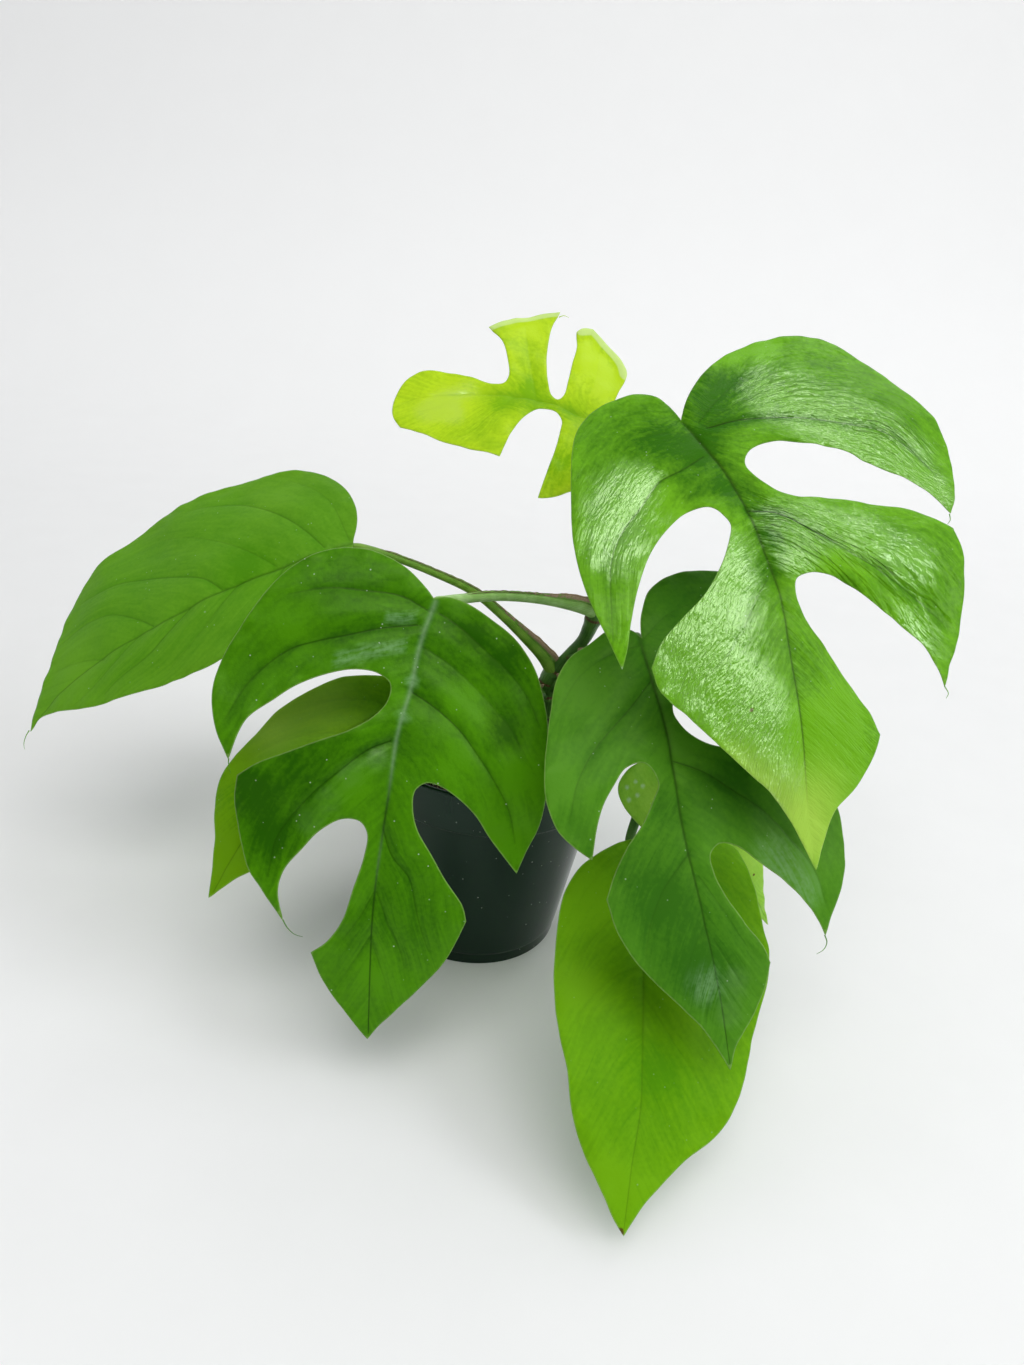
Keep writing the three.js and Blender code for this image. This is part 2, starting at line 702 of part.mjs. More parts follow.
// What the stalks are cut back by: the stem, larger all round by the gap to its seats
const fattened = STEM.map(([point, radius]) => [point, radius + SEAT_GAP]);
const [end, beforeEnd] = [STEM.at(-1)[0], STEM.at(-2)[0]].map((point) => new THREE.Vector3(...point));
const past = end.clone().addScaledVector(end.clone().sub(beforeEnd).normalize(), SEAT_GAP);
fattened[fattened.length - 1][0] = past.toArray();
const fattenedStem = toSolid(limb(fattened, STEM_SIDES));
for (const [name, leaf] of Object.entries(LEAVES)) {
  const colour = name === "young_top" ? COLOURS.young : COLOURS.blade;
  add("blade_" + name, blade(leaf), colour);
  add("stalk_" + name, stalk(leaf, fattenedStem), COLOURS.stalk);
}

export default group;
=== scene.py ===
# %% [markdown]
# # A potted mini monstera
# This lesson dresses a young split-leaf climber and its nursery pot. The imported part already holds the
# pot, the potting mix, the stem, eight stalks and eight blades at their real size and place. Each step
# below takes one of them and gives it the form and the finish that the living plant has.

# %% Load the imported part
import math

import bmesh
import bpy
import numpy as np
from mathutils import Matrix, Vector, kdtree, noise
from mathutils.geometry import delaunay_2d_cdt


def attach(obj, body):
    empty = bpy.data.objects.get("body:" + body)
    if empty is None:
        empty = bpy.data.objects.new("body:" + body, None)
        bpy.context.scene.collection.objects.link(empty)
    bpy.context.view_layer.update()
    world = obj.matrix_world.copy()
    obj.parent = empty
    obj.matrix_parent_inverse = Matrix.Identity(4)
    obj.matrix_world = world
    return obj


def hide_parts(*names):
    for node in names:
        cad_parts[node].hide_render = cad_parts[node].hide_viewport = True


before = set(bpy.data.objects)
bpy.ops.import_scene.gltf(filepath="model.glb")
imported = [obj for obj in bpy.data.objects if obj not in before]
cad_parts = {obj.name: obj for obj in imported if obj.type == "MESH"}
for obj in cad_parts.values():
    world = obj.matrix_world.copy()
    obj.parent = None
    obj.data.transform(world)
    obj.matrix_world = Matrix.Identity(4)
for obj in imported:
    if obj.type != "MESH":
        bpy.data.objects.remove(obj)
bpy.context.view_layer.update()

MM = 0.001

# %% [markdown]
# ## The camera
# The photograph looks down on the plant from close by, and the picture is turned a little askew. A
# plain perspective camera does it: the lens is worked out from the focal length in pixels, and the tilt
# and the roll turn the camera's own axes. The aim is a point inside the plant, so the distance can be
# changed without losing the framing.

# %% Camera
FRAME_HEIGHT_PX = 1365
FOCAL_PX = 1025
SENSOR_MM = 36
CAMERA_AIM = Vector((7, 0, 116)) * MM
CAMERA_DISTANCE = 417.2 * MM
LOOKS_DOWN = math.radians(26)
ROLLED = math.radians(6.2)


def camera_turn(down, roll):
    """The camera's axes as a matrix: right, up and backwards."""
    forward = Vector((0, math.cos(down), -math.sin(down)))
    level_up = Vector((0, math.sin(down), math.cos(down)))
    level_right = Vector((1, 0, 0))
    right = level_right * math.cos(roll) + level_up * math.sin(roll)
    up = level_up * math.cos(roll) - level_right * math.sin(roll)
    return Matrix((right, up, -forward)).transposed()


lens = bpy.data.cameras.new("camera")
lens.sensor_width = SENSOR_MM
lens.lens = SENSOR_MM * FOCAL_PX / FRAME_HEIGHT_PX
lens.clip_start = 0.01
lens.clip_end = 50
camera = bpy.data.objects.new("camera", lens)
turn = camera_turn(LOOKS_DOWN, ROLLED)
camera.matrix_world = Matrix.Translation(CAMERA_AIM + turn.col[2] * CAMERA_DISTANCE) @ turn.to_4x4()
bpy.context.scene.collection.objects.link(camera)
bpy.context.scene.camera = camera
print("lens mm:", round(lens.lens, 2), "camera at:", [round(x, 3) for x in camera.location])

# %% [markdown]
# ## Shader maths as plain sums
# A finish is a network of small nodes. Linking them one by one hides the idea behind the wiring, so one
# small class stands for a socket and turns `a * b + c` into Math nodes. A second class holds the
# material and adds every other kind of node through one method.


# %% Values and finishes
class Value:
    """A shader socket that can stand in a sum."""

    def __init__(self, shader, socket):
        self.shader = shader
        self.socket = socket

    def math(self, operation, *others):
        return self.shader.node("Math", {"operation": operation}, dict(enumerate((self, *others))))

    def __add__(self, other):
        return self.math("ADD", other)

    def __sub__(self, other):
        return self.math("SUBTRACT", other)

    def __mul__(self, other):
        return self.math("MULTIPLY", other)

    def __truediv__(self, other):
        return self.math("DIVIDE", other)

    def __rsub__(self, other):
        return self.shader.node("Math", {"operation": "SUBTRACT"}, {0: other, 1: self})

    __radd__ = __add__
    __rmul__ = __mul__

    def between(self, low, high):
        """0 at low and 1 at high, with a soft step from one to the other."""
        inputs = {"Value": self, "From Min": low, "From Max": high}
        return self.shader.node("MapRange", {"interpolation_type": "SMOOTHSTEP"}, inputs)

    def bell(self, width):
        """1 where the value is 0, falling off to nothing over about twice the width."""
        scaled = self / width
        return self.shader.node("Math", {"operation": "EXPONENT"}, {0: scaled * scaled * -1})

    def ridge(self):
        """Turns soft noise into sharp crests, from 0 to 1."""
        return 1 - (self * 2 - 1).math("ABSOLUTE")

    def wave(self):
        """A sine, from -1 to 1."""
        return self.math("SINE")


class Shader:
    """The nodes of one tree, written as expressions."""

    def __init__(self, tree):
        self.tree = tree

    def node(self, kind, settings, inputs, output=0):
        made = self.tree.nodes.new("ShaderNode" + kind)
        for key, value in settings.items():
            setattr(made, key, value)
        for key, value in inputs.items():
            self.feed(made.inputs[key], value)
        return Value(self, made.outputs[output])

    def feed(self, socket, value):
        if isinstance(value, Value):
            self.tree.links.new(value.socket, socket)
        elif socket.type == "RGBA":
            socket.default_value = (*value, 1)
        else:
            socket.default_value = value


class Finish(Shader):
    """A material with the textures that the pieces of a plant need."""

    def __init__(self, name, **constants):
        self.material = bpy.data.materials.new(name)
        self.material.use_nodes = True
        super().__init__(self.material.node_tree)
        self.surface = self.tree.nodes["Principled BSDF"]
        self.dress(self.surface, constants)

    def dress(self, surface, looks):
        """Feeds the sockets of a surface. A socket's name has _ for each space."""
        for socket, value in looks.items():
            self.feed(surface.inputs[socket.replace("_", " ")], value)

    def attribute(self, name):
        return self.node("Attribute", {"attribute_name": name}, {}, "Fac")

    def place(self, stretch=(1, 1, 1)):
        """A point of the piece in millimetres, stretched if wanted."""
        own = self.node("TexCoord", {}, {}, "Object")
        return self.node("Mapping", {}, {"Vector": own, "Scale": tuple(s / MM for s in stretch)})

    def leaf_plane(self):
        """A point of a blade in millimetres, along its chord and across it."""
        own = self.node("UVMap", {"uv_map": "leaf"}, {})
        return self.node("Mapping", {}, {"Vector": own, "Scale": (100, 100, 1)})

    def split(self, place):
        """The three numbers of a place."""
        return [self.node("SeparateXYZ", {}, {0: place}, axis) for axis in "XYZ"]

    def join(self, *numbers):
        """A place from its numbers."""
        return self.node("CombineXYZ", {}, dict(enumerate(numbers)))

    def cloud(self, place, size, detail=2, twist=0.0):
        """Soft noise from 0 to 1, with lumps of about the given size in millimetres."""
        inputs = {"Vector": place, "Scale": 1 / size, "Detail": detail, "Distortion": twist}
        return self.node("TexNoise", {}, inputs, "Fac")

    def cells(self, place, size):
        """Distance to the nearest of many strewn points, in cell sizes."""
        return self.node("TexVoronoi", {}, {"Vector": place, "Scale": 1 / size}, "Distance")

    def mix(self, first, second, share):
        """Two colours, mixed by a share from 0 to 1."""
        return self.node("Mix", {"data_type": "RGBA"}, {0: share, 6: first, 7: second}, 2)

    def wear(self, relief=None, **looks):
        """Joins the finish to the surface. Relief is a height in millimetres."""
        self.dress(self.surface, looks)
        if relief is not None:
            bump = self.node("Bump", {}, {"Height": relief, "Distance": MM}, "Normal")
            self.feed(self.surface.inputs["Normal"], bump)
        return self.material

    def glaze(self, share, **looks):
        """Lays a glossier skin with the same colour and relief over a share of the surface."""
        glossy = self.tree.nodes.new("ShaderNodeBsdfPrincipled")
        for socket in ("Base Color", "Normal"):
            source = self.surface.inputs[socket].links[0].from_socket
            self.tree.links.new(source, glossy.inputs[socket])
        self.dress(glossy, looks)
        below, above = Value(self, self.surface.outputs[0]), Value(self, glossy.outputs[0])
        mixed = self.node("MixShader", {}, {0: share, 1: below, 2: above})
        self.feed(self.tree.nodes["Material Output"].inputs["Surface"], mixed)
        return self.material


# %% [markdown]
# ## The studio
# The plant stands on a pale sweep, a floor that curves up into a wall with no line between them. The
# wall glows a little, as a lit backdrop does. Four soft lights make a bright room: a wide faint ceiling,
# a skylight in front that draws most of the glints, a smaller one behind for the leaves that lean away,
# and a window at the right. The room is darker behind the camera, where glossy leaves would otherwise
# mirror a white wall.

# %% Floor, wall and lights
FLOOR_HALF_WIDTH = 3.0
FLOOR_FRONT = -2.2
WALL_AT = 1.6
SWEEP_RADIUS = 0.9
WALL_TOP = 3.2
SWEEP_STEPS = 24
WALL_GLOW = 0.20


def sweep_profile():
    """Floor, quarter turn and wall as points of (y, z)."""
    points = [(FLOOR_FRONT, 0), (WALL_AT - SWEEP_RADIUS, 0)]
    for i in range(1, SWEEP_STEPS + 1):
        angle = 0.5 * math.pi * i / SWEEP_STEPS
        y = WALL_AT - SWEEP_RADIUS + SWEEP_RADIUS * math.sin(angle)
        points.append((y, SWEEP_RADIUS * (1 - math.cos(angle))))
    return points + [(WALL_AT, WALL_TOP)]


def new_object(name, points, faces, material=None):
    """A mesh object at the origin. Points are in metres."""
    mesh = bpy.data.meshes.new(name)
    mesh.from_pydata([tuple(point) for point in points], [], [tuple(face) for face in faces])
    mesh.validate()
    mesh.shade_smooth()
    if material is not None:
        mesh.materials.append(material)
    piece = bpy.data.objects.new(name, mesh)
    bpy.context.scene.collection.objects.link(piece)
    return piece


def area_light(name, aim, direction, distance, size, strength, colour):
    """A soft box that shines on the aim from a direction."""
    light = bpy.data.lights.new(name, "AREA")
    light.shape = "RECTANGLE"
    light.size, light.size_y = size
    light.energy = strength
    light.color = colour
    lamp = bpy.data.objects.new(name, light)
    away = Vector(direction).normalized()
    turn = away.to_track_quat("Z", "Y").to_matrix().to_4x4()
    lamp.matrix_world = Matrix.Translation(aim + away * distance) @ turn
    bpy.context.scene.collection.objects.link(lamp)


profile = sweep_profile()
sweep_points = [(side * FLOOR_HALF_WIDTH, y, z) for side in (-1, 1) for y, z in profile]
count = len(profile)
sweep_faces = [(i, i + count, i + count + 1, i + 1) for i in range(count - 1)]
paper = Finish("pale_paper", Roughness=0.9, Specular_IOR_Level=0.1, Emission_Strength=1.0)
depth = paper.split(paper.place())[1]
glow = depth.between(100, 1300) * WALL_GLOW
grain = paper.cloud(paper.place(), 40, 3)
white = paper.mix((0.84, 0.84, 0.84), (0.87, 0.87, 0.87), grain)
paper.wear(Base_Color=white, Emission_Color=paper.join(glow, glow, glow))
sweep = new_object("floor_sweep", sweep_points, sweep_faces, paper.material)

PLANT_MIDDLE = Vector((0.01, -0.04, 0.13))
area_light("ceiling", PLANT_MIDDLE, (0.20, -0.30, 0.93), 2.3, (2.0, 1.8), 4, (1.0, 0.99, 0.97))
area_light("skylight", PLANT_MIDDLE, (0.08, -0.45, 0.88), 2.0, (1.7, 0.8), 16, (1.0, 1.0, 0.98))
area_light("back_skylight", PLANT_MIDDLE, (0.34, 0.40, 0.85), 2.0, (0.5, 1.0), 4, (1.0, 1.0, 0.98))
area_light("window", PLANT_MIDDLE, (0.75, -0.33, 0.57), 1.9, (0.7, 1.1), 10, (0.96, 0.98, 1.0))
world = bpy.data.worlds.new("room")
world.use_nodes = True
room = Shader(world.node_tree)
direction = room.node("TexCoord", {}, {}, "Generated")
towards = room.node("VectorMath", {"operation": "DOT_PRODUCT"}, {0: direction, 1: (0, 1, 0.9)}, "Value")
background = world.node_tree.nodes["Background"]
room.feed(background.inputs["Color"], (0.96, 0.98, 1.0))
room.feed(background.inputs["Strength"], towards.between(-0.6, 0.2) * 0.46 + 0.08)
bpy.context.scene.world = world
bpy.context.scene.view_settings.view_transform = "Standard"
print("sweep faces:", len(sweep_faces))

# %% [markdown]
# ## The leaves, measured
# Every blade lies round a chord from its base to its tip. The numbers are those of the imported part, in
# millimetres: the edge is given in smooth stretches between sharp corners, as (along the chord, across
# it). New here are the side veins with their strength, the hair-fine drip tips, the skin, and the marks
# on it, each a place and a radius. Listing them one by one keeps each leaf an individual, where a rule
# would make eight twins.

# %% The leaf table
# margin sets the painted highlight on the edge, vein the painted shade over the veins.
USUAL_SKIN = {
    "rib_width": 0.9, "rib_reach": 0.0, "margin": 0.3, "dust": 0.5, "pleat": 0.8, "vein": 0.5,
    "wrinkle": 0.14, "rough": 0.5, "gloss": 0.06, "glaze": 0.48, "sleek": 0.34,
}


def skin_of(deep, fresh, rib, **changes):
    """A leaf's colours, and what differs from the usual leaf."""
    return {**USUAL_SKIN, "deep": deep, "fresh": fresh, "rib": rib, **changes}


LEAVES = {
    "far_left": {
        "base": (-63, 14, 163), "tip": (-182, -22, 86), "faces": (-112, 50),
        "arch": 9, "droop": 0.018, "wave": (0.9, 47, 0.5),
        "midrib": [(0, 0), (26, -2), (53, -4), (84, -5), (108, -6), (130, -4), (147, 1)],
        "edge": [
            [
                (-1, -1), (-7, -12), (-8, -27), (-4, -40), (7, -52), (20, -57), (36, -61), (54, -63),
                (70, -62), (86, -59), (101, -55), (113, -47), (122, -37), (132, -22), (140, -11),
                (145, -4), (149, 2),
            ],
            [
                (149, 2), (143, 0), (136, 2), (120, 11), (103, 17), (90, 21), (71, 24), (52, 25), (32, 24),
                (14, 18), (3, 8), (-1, -1),
            ],
        ],
        "stalk": [
            (25, 28.5, 109, 3.6), (19, 27.5, 117, 2.9), (10, 26.5, 125.5, 2.3), (-1, 24.7, 135.5, 2.0),
            (-13, 22.7, 144.7, 1.8), (-28, 20, 151.5, 1.6), (-43, 17, 157.2, 1.6), (-55, 15, 160.6, 1.8),
        ],
        "veins": [
            (0.5, [(0, -2), (0, -24), (4, -36), (12, -48)]),
            (0.9, [(10, -3), (14, -15), (19, -26), (26, -37), (34, -46), (44, -52), (56, -57)]),
            (0.5, [(30, -4), (37, -16), (46, -28), (58, -40), (72, -50)]),
            (0.9, [(53, -5), (58, -14), (66, -21), (79, -30), (92, -37), (102, -39), (112, -41)]),
            (0.8, [(84, -6), (89, -13), (99, -23), (109, -27), (117, -28), (126, -27)]),
            (0.5, [(108, -5), (115, -10), (124, -14), (132, -16)]),
            (0.3, [(8, -1), (14, 8), (24, 17)]),
            (0.5, [(26, -3), (36, 6), (48, 14), (60, 20)]),
            (0.6, [(46, -4), (58, 4), (72, 12), (84, 17)]),
            (0.8, [(68, -4), (80, 2), (89, 6), (103, 8), (112, 10)]),
            (0.5, [(92, -5), (104, 0), (116, 4), (126, 6)]),
        ],
        "hooks": [[(149, 2), (151.5, 3.4), (153.2, 5.6), (153.6, 8)]],
        "skin": skin_of(
            (0.066, 0.245, 0.003), (0.125, 0.34, 0.012), (0.1, 0.26, 0.03), margin=0.12, pleat=0.9,
            vein=0.7, wrinkle=0.1, gloss=0.1,
        ),
        "marks": {
            "speck": [(51, -40, 0.5), (82, -26, 0.4), (62, 2, 0.4)],
            "fresh": [(20, -40, 12), (120, -10, 12)],
            "deep": [(40, -10, 10)],
        },
    },
    "front_left": {
        "base": (-22, -48, 167), "tip": (-28, -114, 33), "faces": (-84, 32),
        "arch": 8, "droop": 0.016, "wave": (1.4, 52, 1.2),
        "midrib": [
            (0, 0), (15, -3), (31, -4), (46, -6), (69, -6), (94, -6), (113, -5), (132, -3), (150, -1),
        ],
        "edge": [
            [
                (-1, -1), (-4, -4), (-10, -12), (-14, -23), (-14, -33), (-11, -42), (-4, -51), (6, -58),
                (18, -64), (31, -69), (42, -70), (53, -67), (63, -61),
            ],
            [
                (63, -61), (49, -57), (41, -49), (35, -42), (30, -33), (27, -24), (27, -16), (30, -11),
                (36, -11), (42, -15), (48, -23), (52, -31), (58, -42), (63, -51), (68, -57),
            ],
            [(68, -57), (76, -57), (86, -54), (98, -49), (105, -43), (114, -35)],
            [
                (114, -35), (104, -38), (97, -37), (89, -32), (82, -27), (77, -20), (77, -14), (81, -11),
                (89, -11), (100, -13), (111, -15), (119, -19), (124, -24),
            ],
            [(124, -24), (133, -19), (142, -11), (152, -1)],
            [(152, -1), (147, 2), (138, 9), (129, 16), (121, 21), (113, 24), (106, 26)],
            [
                (106, 26), (101, 24), (93, 17), (85, 11), (77, 5), (70, 2.5), (64, 2.5), (61, 6), (62, 12),
                (69, 23), (77, 30), (88, 41),
            ],
            [
                (88, 41), (81, 43), (72, 46), (63, 47), (54, 46.5), (45, 45.5), (35, 44), (26, 41),
                (18, 37), (9, 29), (3, 19), (-1, 10), (-2, 4), (-1, -1),
            ],
        ],
        "stalk": [
            (38.3, 19.5, 143, 3.2), (30, 13.5, 147, 2.7), (15, 1, 153, 2.0), (-1, -16, 159, 1.8),
            (-13, -32, 163, 1.9), (-19, -43, 165.5, 2.1),
        ],
        "veins": [
            (0.8, [(4, -1), (0, -12), (0, -24), (1, -37), (5, -50)]),
            (1, [(9, -5), (12, -17), (16, -28), (20, -39), (24, -47), (36, -58), (50, -64)]),
            (1, [(49, -8), (53, -15), (61, -23), (70, -31), (79, -37), (87, -41), (100, -42)]),
            (0.5, [(100, -6), (108, -9), (118, -14)]),
            (0.4, [(115, -5), (124, -9), (133, -13)]),
            (0.7, [(4, 2), (8, 10), (14, 19), (20, 28), (28, 36), (38, 42)]),
            (0.5, [(16, -2), (22, 10), (30, 21), (40, 32), (52, 41)]),
            (1, [(32, -3), (36, 5), (42, 14), (49, 21), (57, 28), (67, 35), (78, 39)]),
            (0.7, [(79, -6), (87, -2), (94, 5), (102, 8), (110, 11), (118, 15)]),
            (0.5, [(100, -5), (110, 0), (120, 6), (130, 9)]),
            (0.4, [(118, -4), (128, 1), (138, 5)]),
        ],
        "hooks": [
            [(63, -61), (65.5, -60.6), (68, -59.6)],
            [(114, -35), (116.5, -33.2), (118.5, -30.5), (119, -27.5)],
        ],
        # The pale rib colour is partly dust and partly a painted sheen on the midrib's flank.
        "skin": skin_of(
            (0.016, 0.095, 0.001), (0.068, 0.25, 0.002), (0.2, 0.34, 0.17), rib_width=0.6, rib_reach=0.42,
            dust=1.0, pleat=1.2, vein=1.0, rough=0.42, gloss=0.08, sleek=0.3,
        ),
        "marks": {
            # The deep marks paint the shade on the panels and the lower lobes.
            "deep": [
                (60, -38, 9), (88, -43, 9), (76, -52, 10), (66, -55, 7), (50, -28, 7), (8, 16, 6),
                (14, 28, 7), (40, 30, 6),
            ],
            "fresh": [
                (34, 16, 9), (52, 16, 9), (56, 36, 9), (64, -18, 7), (16, -46, 10), (128, -2, 9),
                (74, 36, 9),
            ],
            # Film along the midrib, partly dust and partly a painted sheen.
            "film_and_sheen": [(28, -4, 3), (40, -5, 3)],
            "shine": [(62, -19, 5), (72, -25, 5), (80, -31, 5), (56, -11, 4)],
        },
        # Boxes of pale film, partly dust and partly a painted sheen.
        "dust_and_sheen": [(9.8, 19, -33, -6), (-3, 7, -18, -4)],
    },
    "low_left": {
        "base": (-22, -46, 128), "tip": (-92, -84, 60), "faces": (-100, 40),
        "arch": 6, "droop": 0.016, "wave": (1.2, 40, 2),
        "midrib": [(0, 0), (15, -7), (34, -11), (61, -10), (87, -5), (104, 0)],
        "edge": [
            [
                (0, 0), (1, -9), (6, -17), (13, -24), (20, -29), (31, -32), (42, -34), (56, -33.5),
                (68, -32), (75, -30), (81, -26), (92, -13), (106, 0),
            ],
            [
                (106, 0), (100, 1), (94, 2), (88, 4), (80, 7), (67, 9), (53, 10), (38, 11), (22, 11),
                (8, 7), (0, 0),
            ],
        ],
        "stalk": [
            (22.5, 30.5, 97, 3.4), (14, 20, 103, 2.6), (3, 3, 112, 2.0), (-7, -18, 123, 1.8),
            (-14, -32, 128.5, 1.9), (-19, -41, 129.5, 2.0),
        ],
        "veins": [
            (0.5, [(12, -6), (16, -14), (24, -22), (36, -28)]),
            (0.5, [(30, -10), (38, -17), (50, -24), (64, -28)]),
            (0.4, [(50, -11), (60, -16), (72, -21), (80, -22)]),
            (0.3, [(70, -9), (80, -12), (90, -12)]),
            (0.4, [(14, -6), (22, 0), (32, 6), (44, 9)]),
            (0.4, [(34, -11), (44, -4), (56, 2), (68, 6)]),
            (0.3, [(56, -10), (68, -4), (80, 1), (90, 3)]),
        ],
        "hooks": [],
        "skin": skin_of(
            (0.045, 0.2, 0.001), (0.14, 0.34, 0.002), (0.09, 0.23, 0.01), margin=0.2, dust=0.2,
            wrinkle=0.08, gloss=0.05, glaze=0.4,
        ),
        "marks": {
            "fresh": [(92, -8, 13), (66, -28, 6), (30, -8, 10)],
            # The gold marks brighten the part that lies in the front-left leaf's shadow: painted light.
            "gold_and_painted_light": [(30, -27, 14), (50, -30, 10)],
        },
    },
    "young_top": {
        "base": (32, 40, 215), "tip": (-50, 30, 216), "faces": (-80, 55),
        "arch": 3, "droop": 0, "wave": (1, 34, 0),
        "midrib": [(0, 0), (5, -2), (11, -3), (17, -5.5), (22, -7), (38, -8), (55, -7), (70, -5), (81, -2)],
        "edge": [
            [
                (0, 1), (-2, -4), (-4, -10), (-7, -18), (-11, -28), (-10, -34), (-7, -39), (-2, -44),
                (3, -49),
            ],
            [(3, -49), (7, -48), (10, -46)],
            [
                (10, -46), (10, -38), (12, -29), (14, -19), (16, -11), (18.5, -8.8), (21, -11),
                (22.5, -17), (23, -28), (22, -40), (20, -50), (17, -56),
            ],
            [(17, -56), (23, -54.5), (29, -52), (35, -49), (41, -45.5), (47, -42)],
            [
                (47, -42), (43, -39), (40, -32), (38.5, -24), (38.5, -17), (40.5, -13.5), (45, -13),
                (51, -15), (58, -17), (66, -18), (74, -17.5), (79, -13), (82, -7), (83.5, 0), (83, 6),
                (80, 11),
            ],
            [(80, 11), (74, 13.5), (64, 18), (54, 21.5), (42, 25)],
            [
                (42, 25), (40, 19), (37, 11), (33, 4), (28, -1.5), (23, -3.2), (19, -1.8), (17, 2),
                (18, 9), (20, 18), (23, 28), (27, 42),
            ],
            [(27, 42), (21, 41), (14, 38)],
            [(14, 38), (10, 28), (7, 18), (4, 9), (0, 1)],
        ],
        "stalk": [
            (46.5, 10, 174, 2.2), (43.5, 16, 184, 1.9), (45, 26, 197, 1.6), (42, 35, 208, 1.5),
            (36, 39, 213, 1.6),
        ],
        "veins": [
            (0.5, [(8, -3), (4, -16), (1, -30), (0, -42)]),
            (0.6, [(27, -7), (29, -22), (31, -38), (32, -48)]),
            (0.3, [(46, -8), (56, -12), (68, -13)]),
            (0.6, [(36, -7), (46, 4), (54, 14), (60, 16)]),
            (0.5, [(6, -1), (12, 12), (17, 26), (21, 38)]),
            (0.3, [(56, -7), (66, 0), (74, 4)]),
        ],
        "hooks": [[(17, -56), (15, -57), (12.8, -56)], [(3, -49), (1.6, -50.6), (2.4, -52)]],
        "skin": skin_of(
            (0.19, 0.42, 0.001), (0.47, 0.69, 0.012), (0.14, 0.34, 0.002), rib_width=1.3, rib_reach=0.55,
            margin=0.2, dust=0.0, vein=0.12, wrinkle=0.08, rough=0.36, glaze=0.8, sleek=0.2,
        ),
        "marks": {
            "shine": [(63, -4, 6), (70, 3, 6), (55, -9, 5), (60, 5, 5)],
            "deep": [(26, -2, 7), (14, -3, 5), (30, -12, 8), (20, 24, 10), (40, -3, 7)],
            "fresh": [(-4, -24, 12), (66, 0, 10), (60, -2, 9), (6, -34, 8), (30, -46, 8)],
        },
        "rolled": [
            (1.5, [(17, -56), (23, -54.5), (29, -52), (35, -49), (41, -45.5), (47, -42)]),
            (2.8, [(-11, -28), (-10, -34), (-7, -39), (-2, -44), (3, -49), (8, -47.5)]),
        ],
    },
    "upper_right": {
        "base": (56, -14, 230), "tip": (107, -108, 118), "faces": (-82, 30),
        "arch": 10, "droop": 0.014, "wave": (1.2, 58, 0.8),
        "midrib": [
            (0, 0), (13, 4), (26, 8), (39, 10), (53, 10.5), (70, 11), (87, 9), (104, 7), (119, 5),
            (136, 2), (154, 0),
        ],
        "edge": [
            [
                (-1, 0), (-8, -3), (-14, -8), (-15, -17), (-12, -28), (-5, -36), (5, -41), (23, -46),
                (37, -49), (52, -50), (64, -49), (74, -47), (83, -45),
            ],
            [
                (83, -45), (77, -42), (69, -39), (57, -33), (47, -26), (40, -18), (36, -10), (36, -3),
                (40, 1), (44, 2), (52, -2), (59, -7), (66, -14), (72, -23), (78, -31), (85, -36),
            ],
            [(85, -36), (93, -35), (102, -29), (113, -22), (123, -15), (133, -8), (143, -4), (157, 0)],
            [(157, 0), (148, 5), (141, 10), (135, 19), (127, 27), (121, 31)],
            [
                (121, 31), (113, 29), (103, 25), (94, 22), (86, 19), (78, 16.5), (71, 16), (66, 18),
                (65, 23), (67, 29), (72, 35), (79, 42), (88, 50), (97, 57), (110, 59),
            ],
            [(110, 59), (104, 63), (95, 70), (85, 75), (75, 79), (65, 82), (57, 82)],
            [
                (57, 82), (49, 71), (44, 56), (39, 40), (36, 27), (31, 20), (26, 16), (21, 15), (17, 18),
                (15, 27), (17, 38), (21, 50), (29, 62), (36, 74), (44, 81), (51, 84),
            ],
            [
                (51, 84), (46, 88), (35, 93), (22, 95), (10, 94), (-2, 89), (-12, 84), (-22, 78),
                (-30, 71), (-34, 60), (-33, 44), (-27, 26), (-18, 13), (-8, 4), (-1, 0),
            ],
        ],
        "stalk": [
            (45.5, 11, 167, 2.7), (51.5, 5, 181, 2.2), (55, 0, 202, 1.9), (56.5, -5, 219, 2.0),
            (57, -10, 226, 2.1),
        ],
        "veins": [
            (0.45, [(2, 5), (-7, 16), (-16, 30), (-24, 50)]),
            (0.25, [(4, 6), (-3, 20), (-9, 40), (-9, 60), (-4, 76)]),
            (1.6, [(5, 7), (4, 20), (6, 39), (11, 57), (15, 70), (23, 79), (35, 86)]),
            (0.1, [(33, 10), (38, 24), (45, 40), (52, 58), (57, 74)]),
            (1.4, [(39, 10), (42, 20), (50, 29), (61, 40), (70, 49), (80, 58), (89, 66)]),
            (0.25, [(75, 11), (84, 16), (98, 22), (112, 27)]),
            (0.15, [(95, 9), (108, 16), (120, 24)]),
            (0.15, [(0, 0), (-8, -8), (-10, -20), (-4, -30)]),
            (0.25, [(6, 2), (4, -8), (6, -20), (14, -32), (24, -42)]),
            (1.0, [(16, 2), (20, -7), (23, -16), (31, -25), (38, -33), (47, -39), (60, -43), (74, -46)]),
            (0.5, [(65, 8), (71, 2), (81, -6), (88, -14), (94, -24)]),
            (0.2, [(80, 9), (90, 1), (100, -8), (108, -17)]),
            (0.3, [(98, 8), (107, 0), (116, -9), (122, -14)]),
            (0.15, [(118, 5), (127, -1), (136, -6)]),
        ],
        "hooks": [[(51, 84), (53.5, 83), (55, 81)], [(110, 59), (112.5, 59.5), (114, 58)]],
        "skin": skin_of(
            (0.024, 0.135, 0.001), (0.145, 0.41, 0.01), (0.018, 0.1, 0.006), rib_width=0.7, margin=0.15,
            vein=0.9, wrinkle=1.0, rough=0.4, glaze=1.0, sleek=0.16,
        ),
        "marks": {
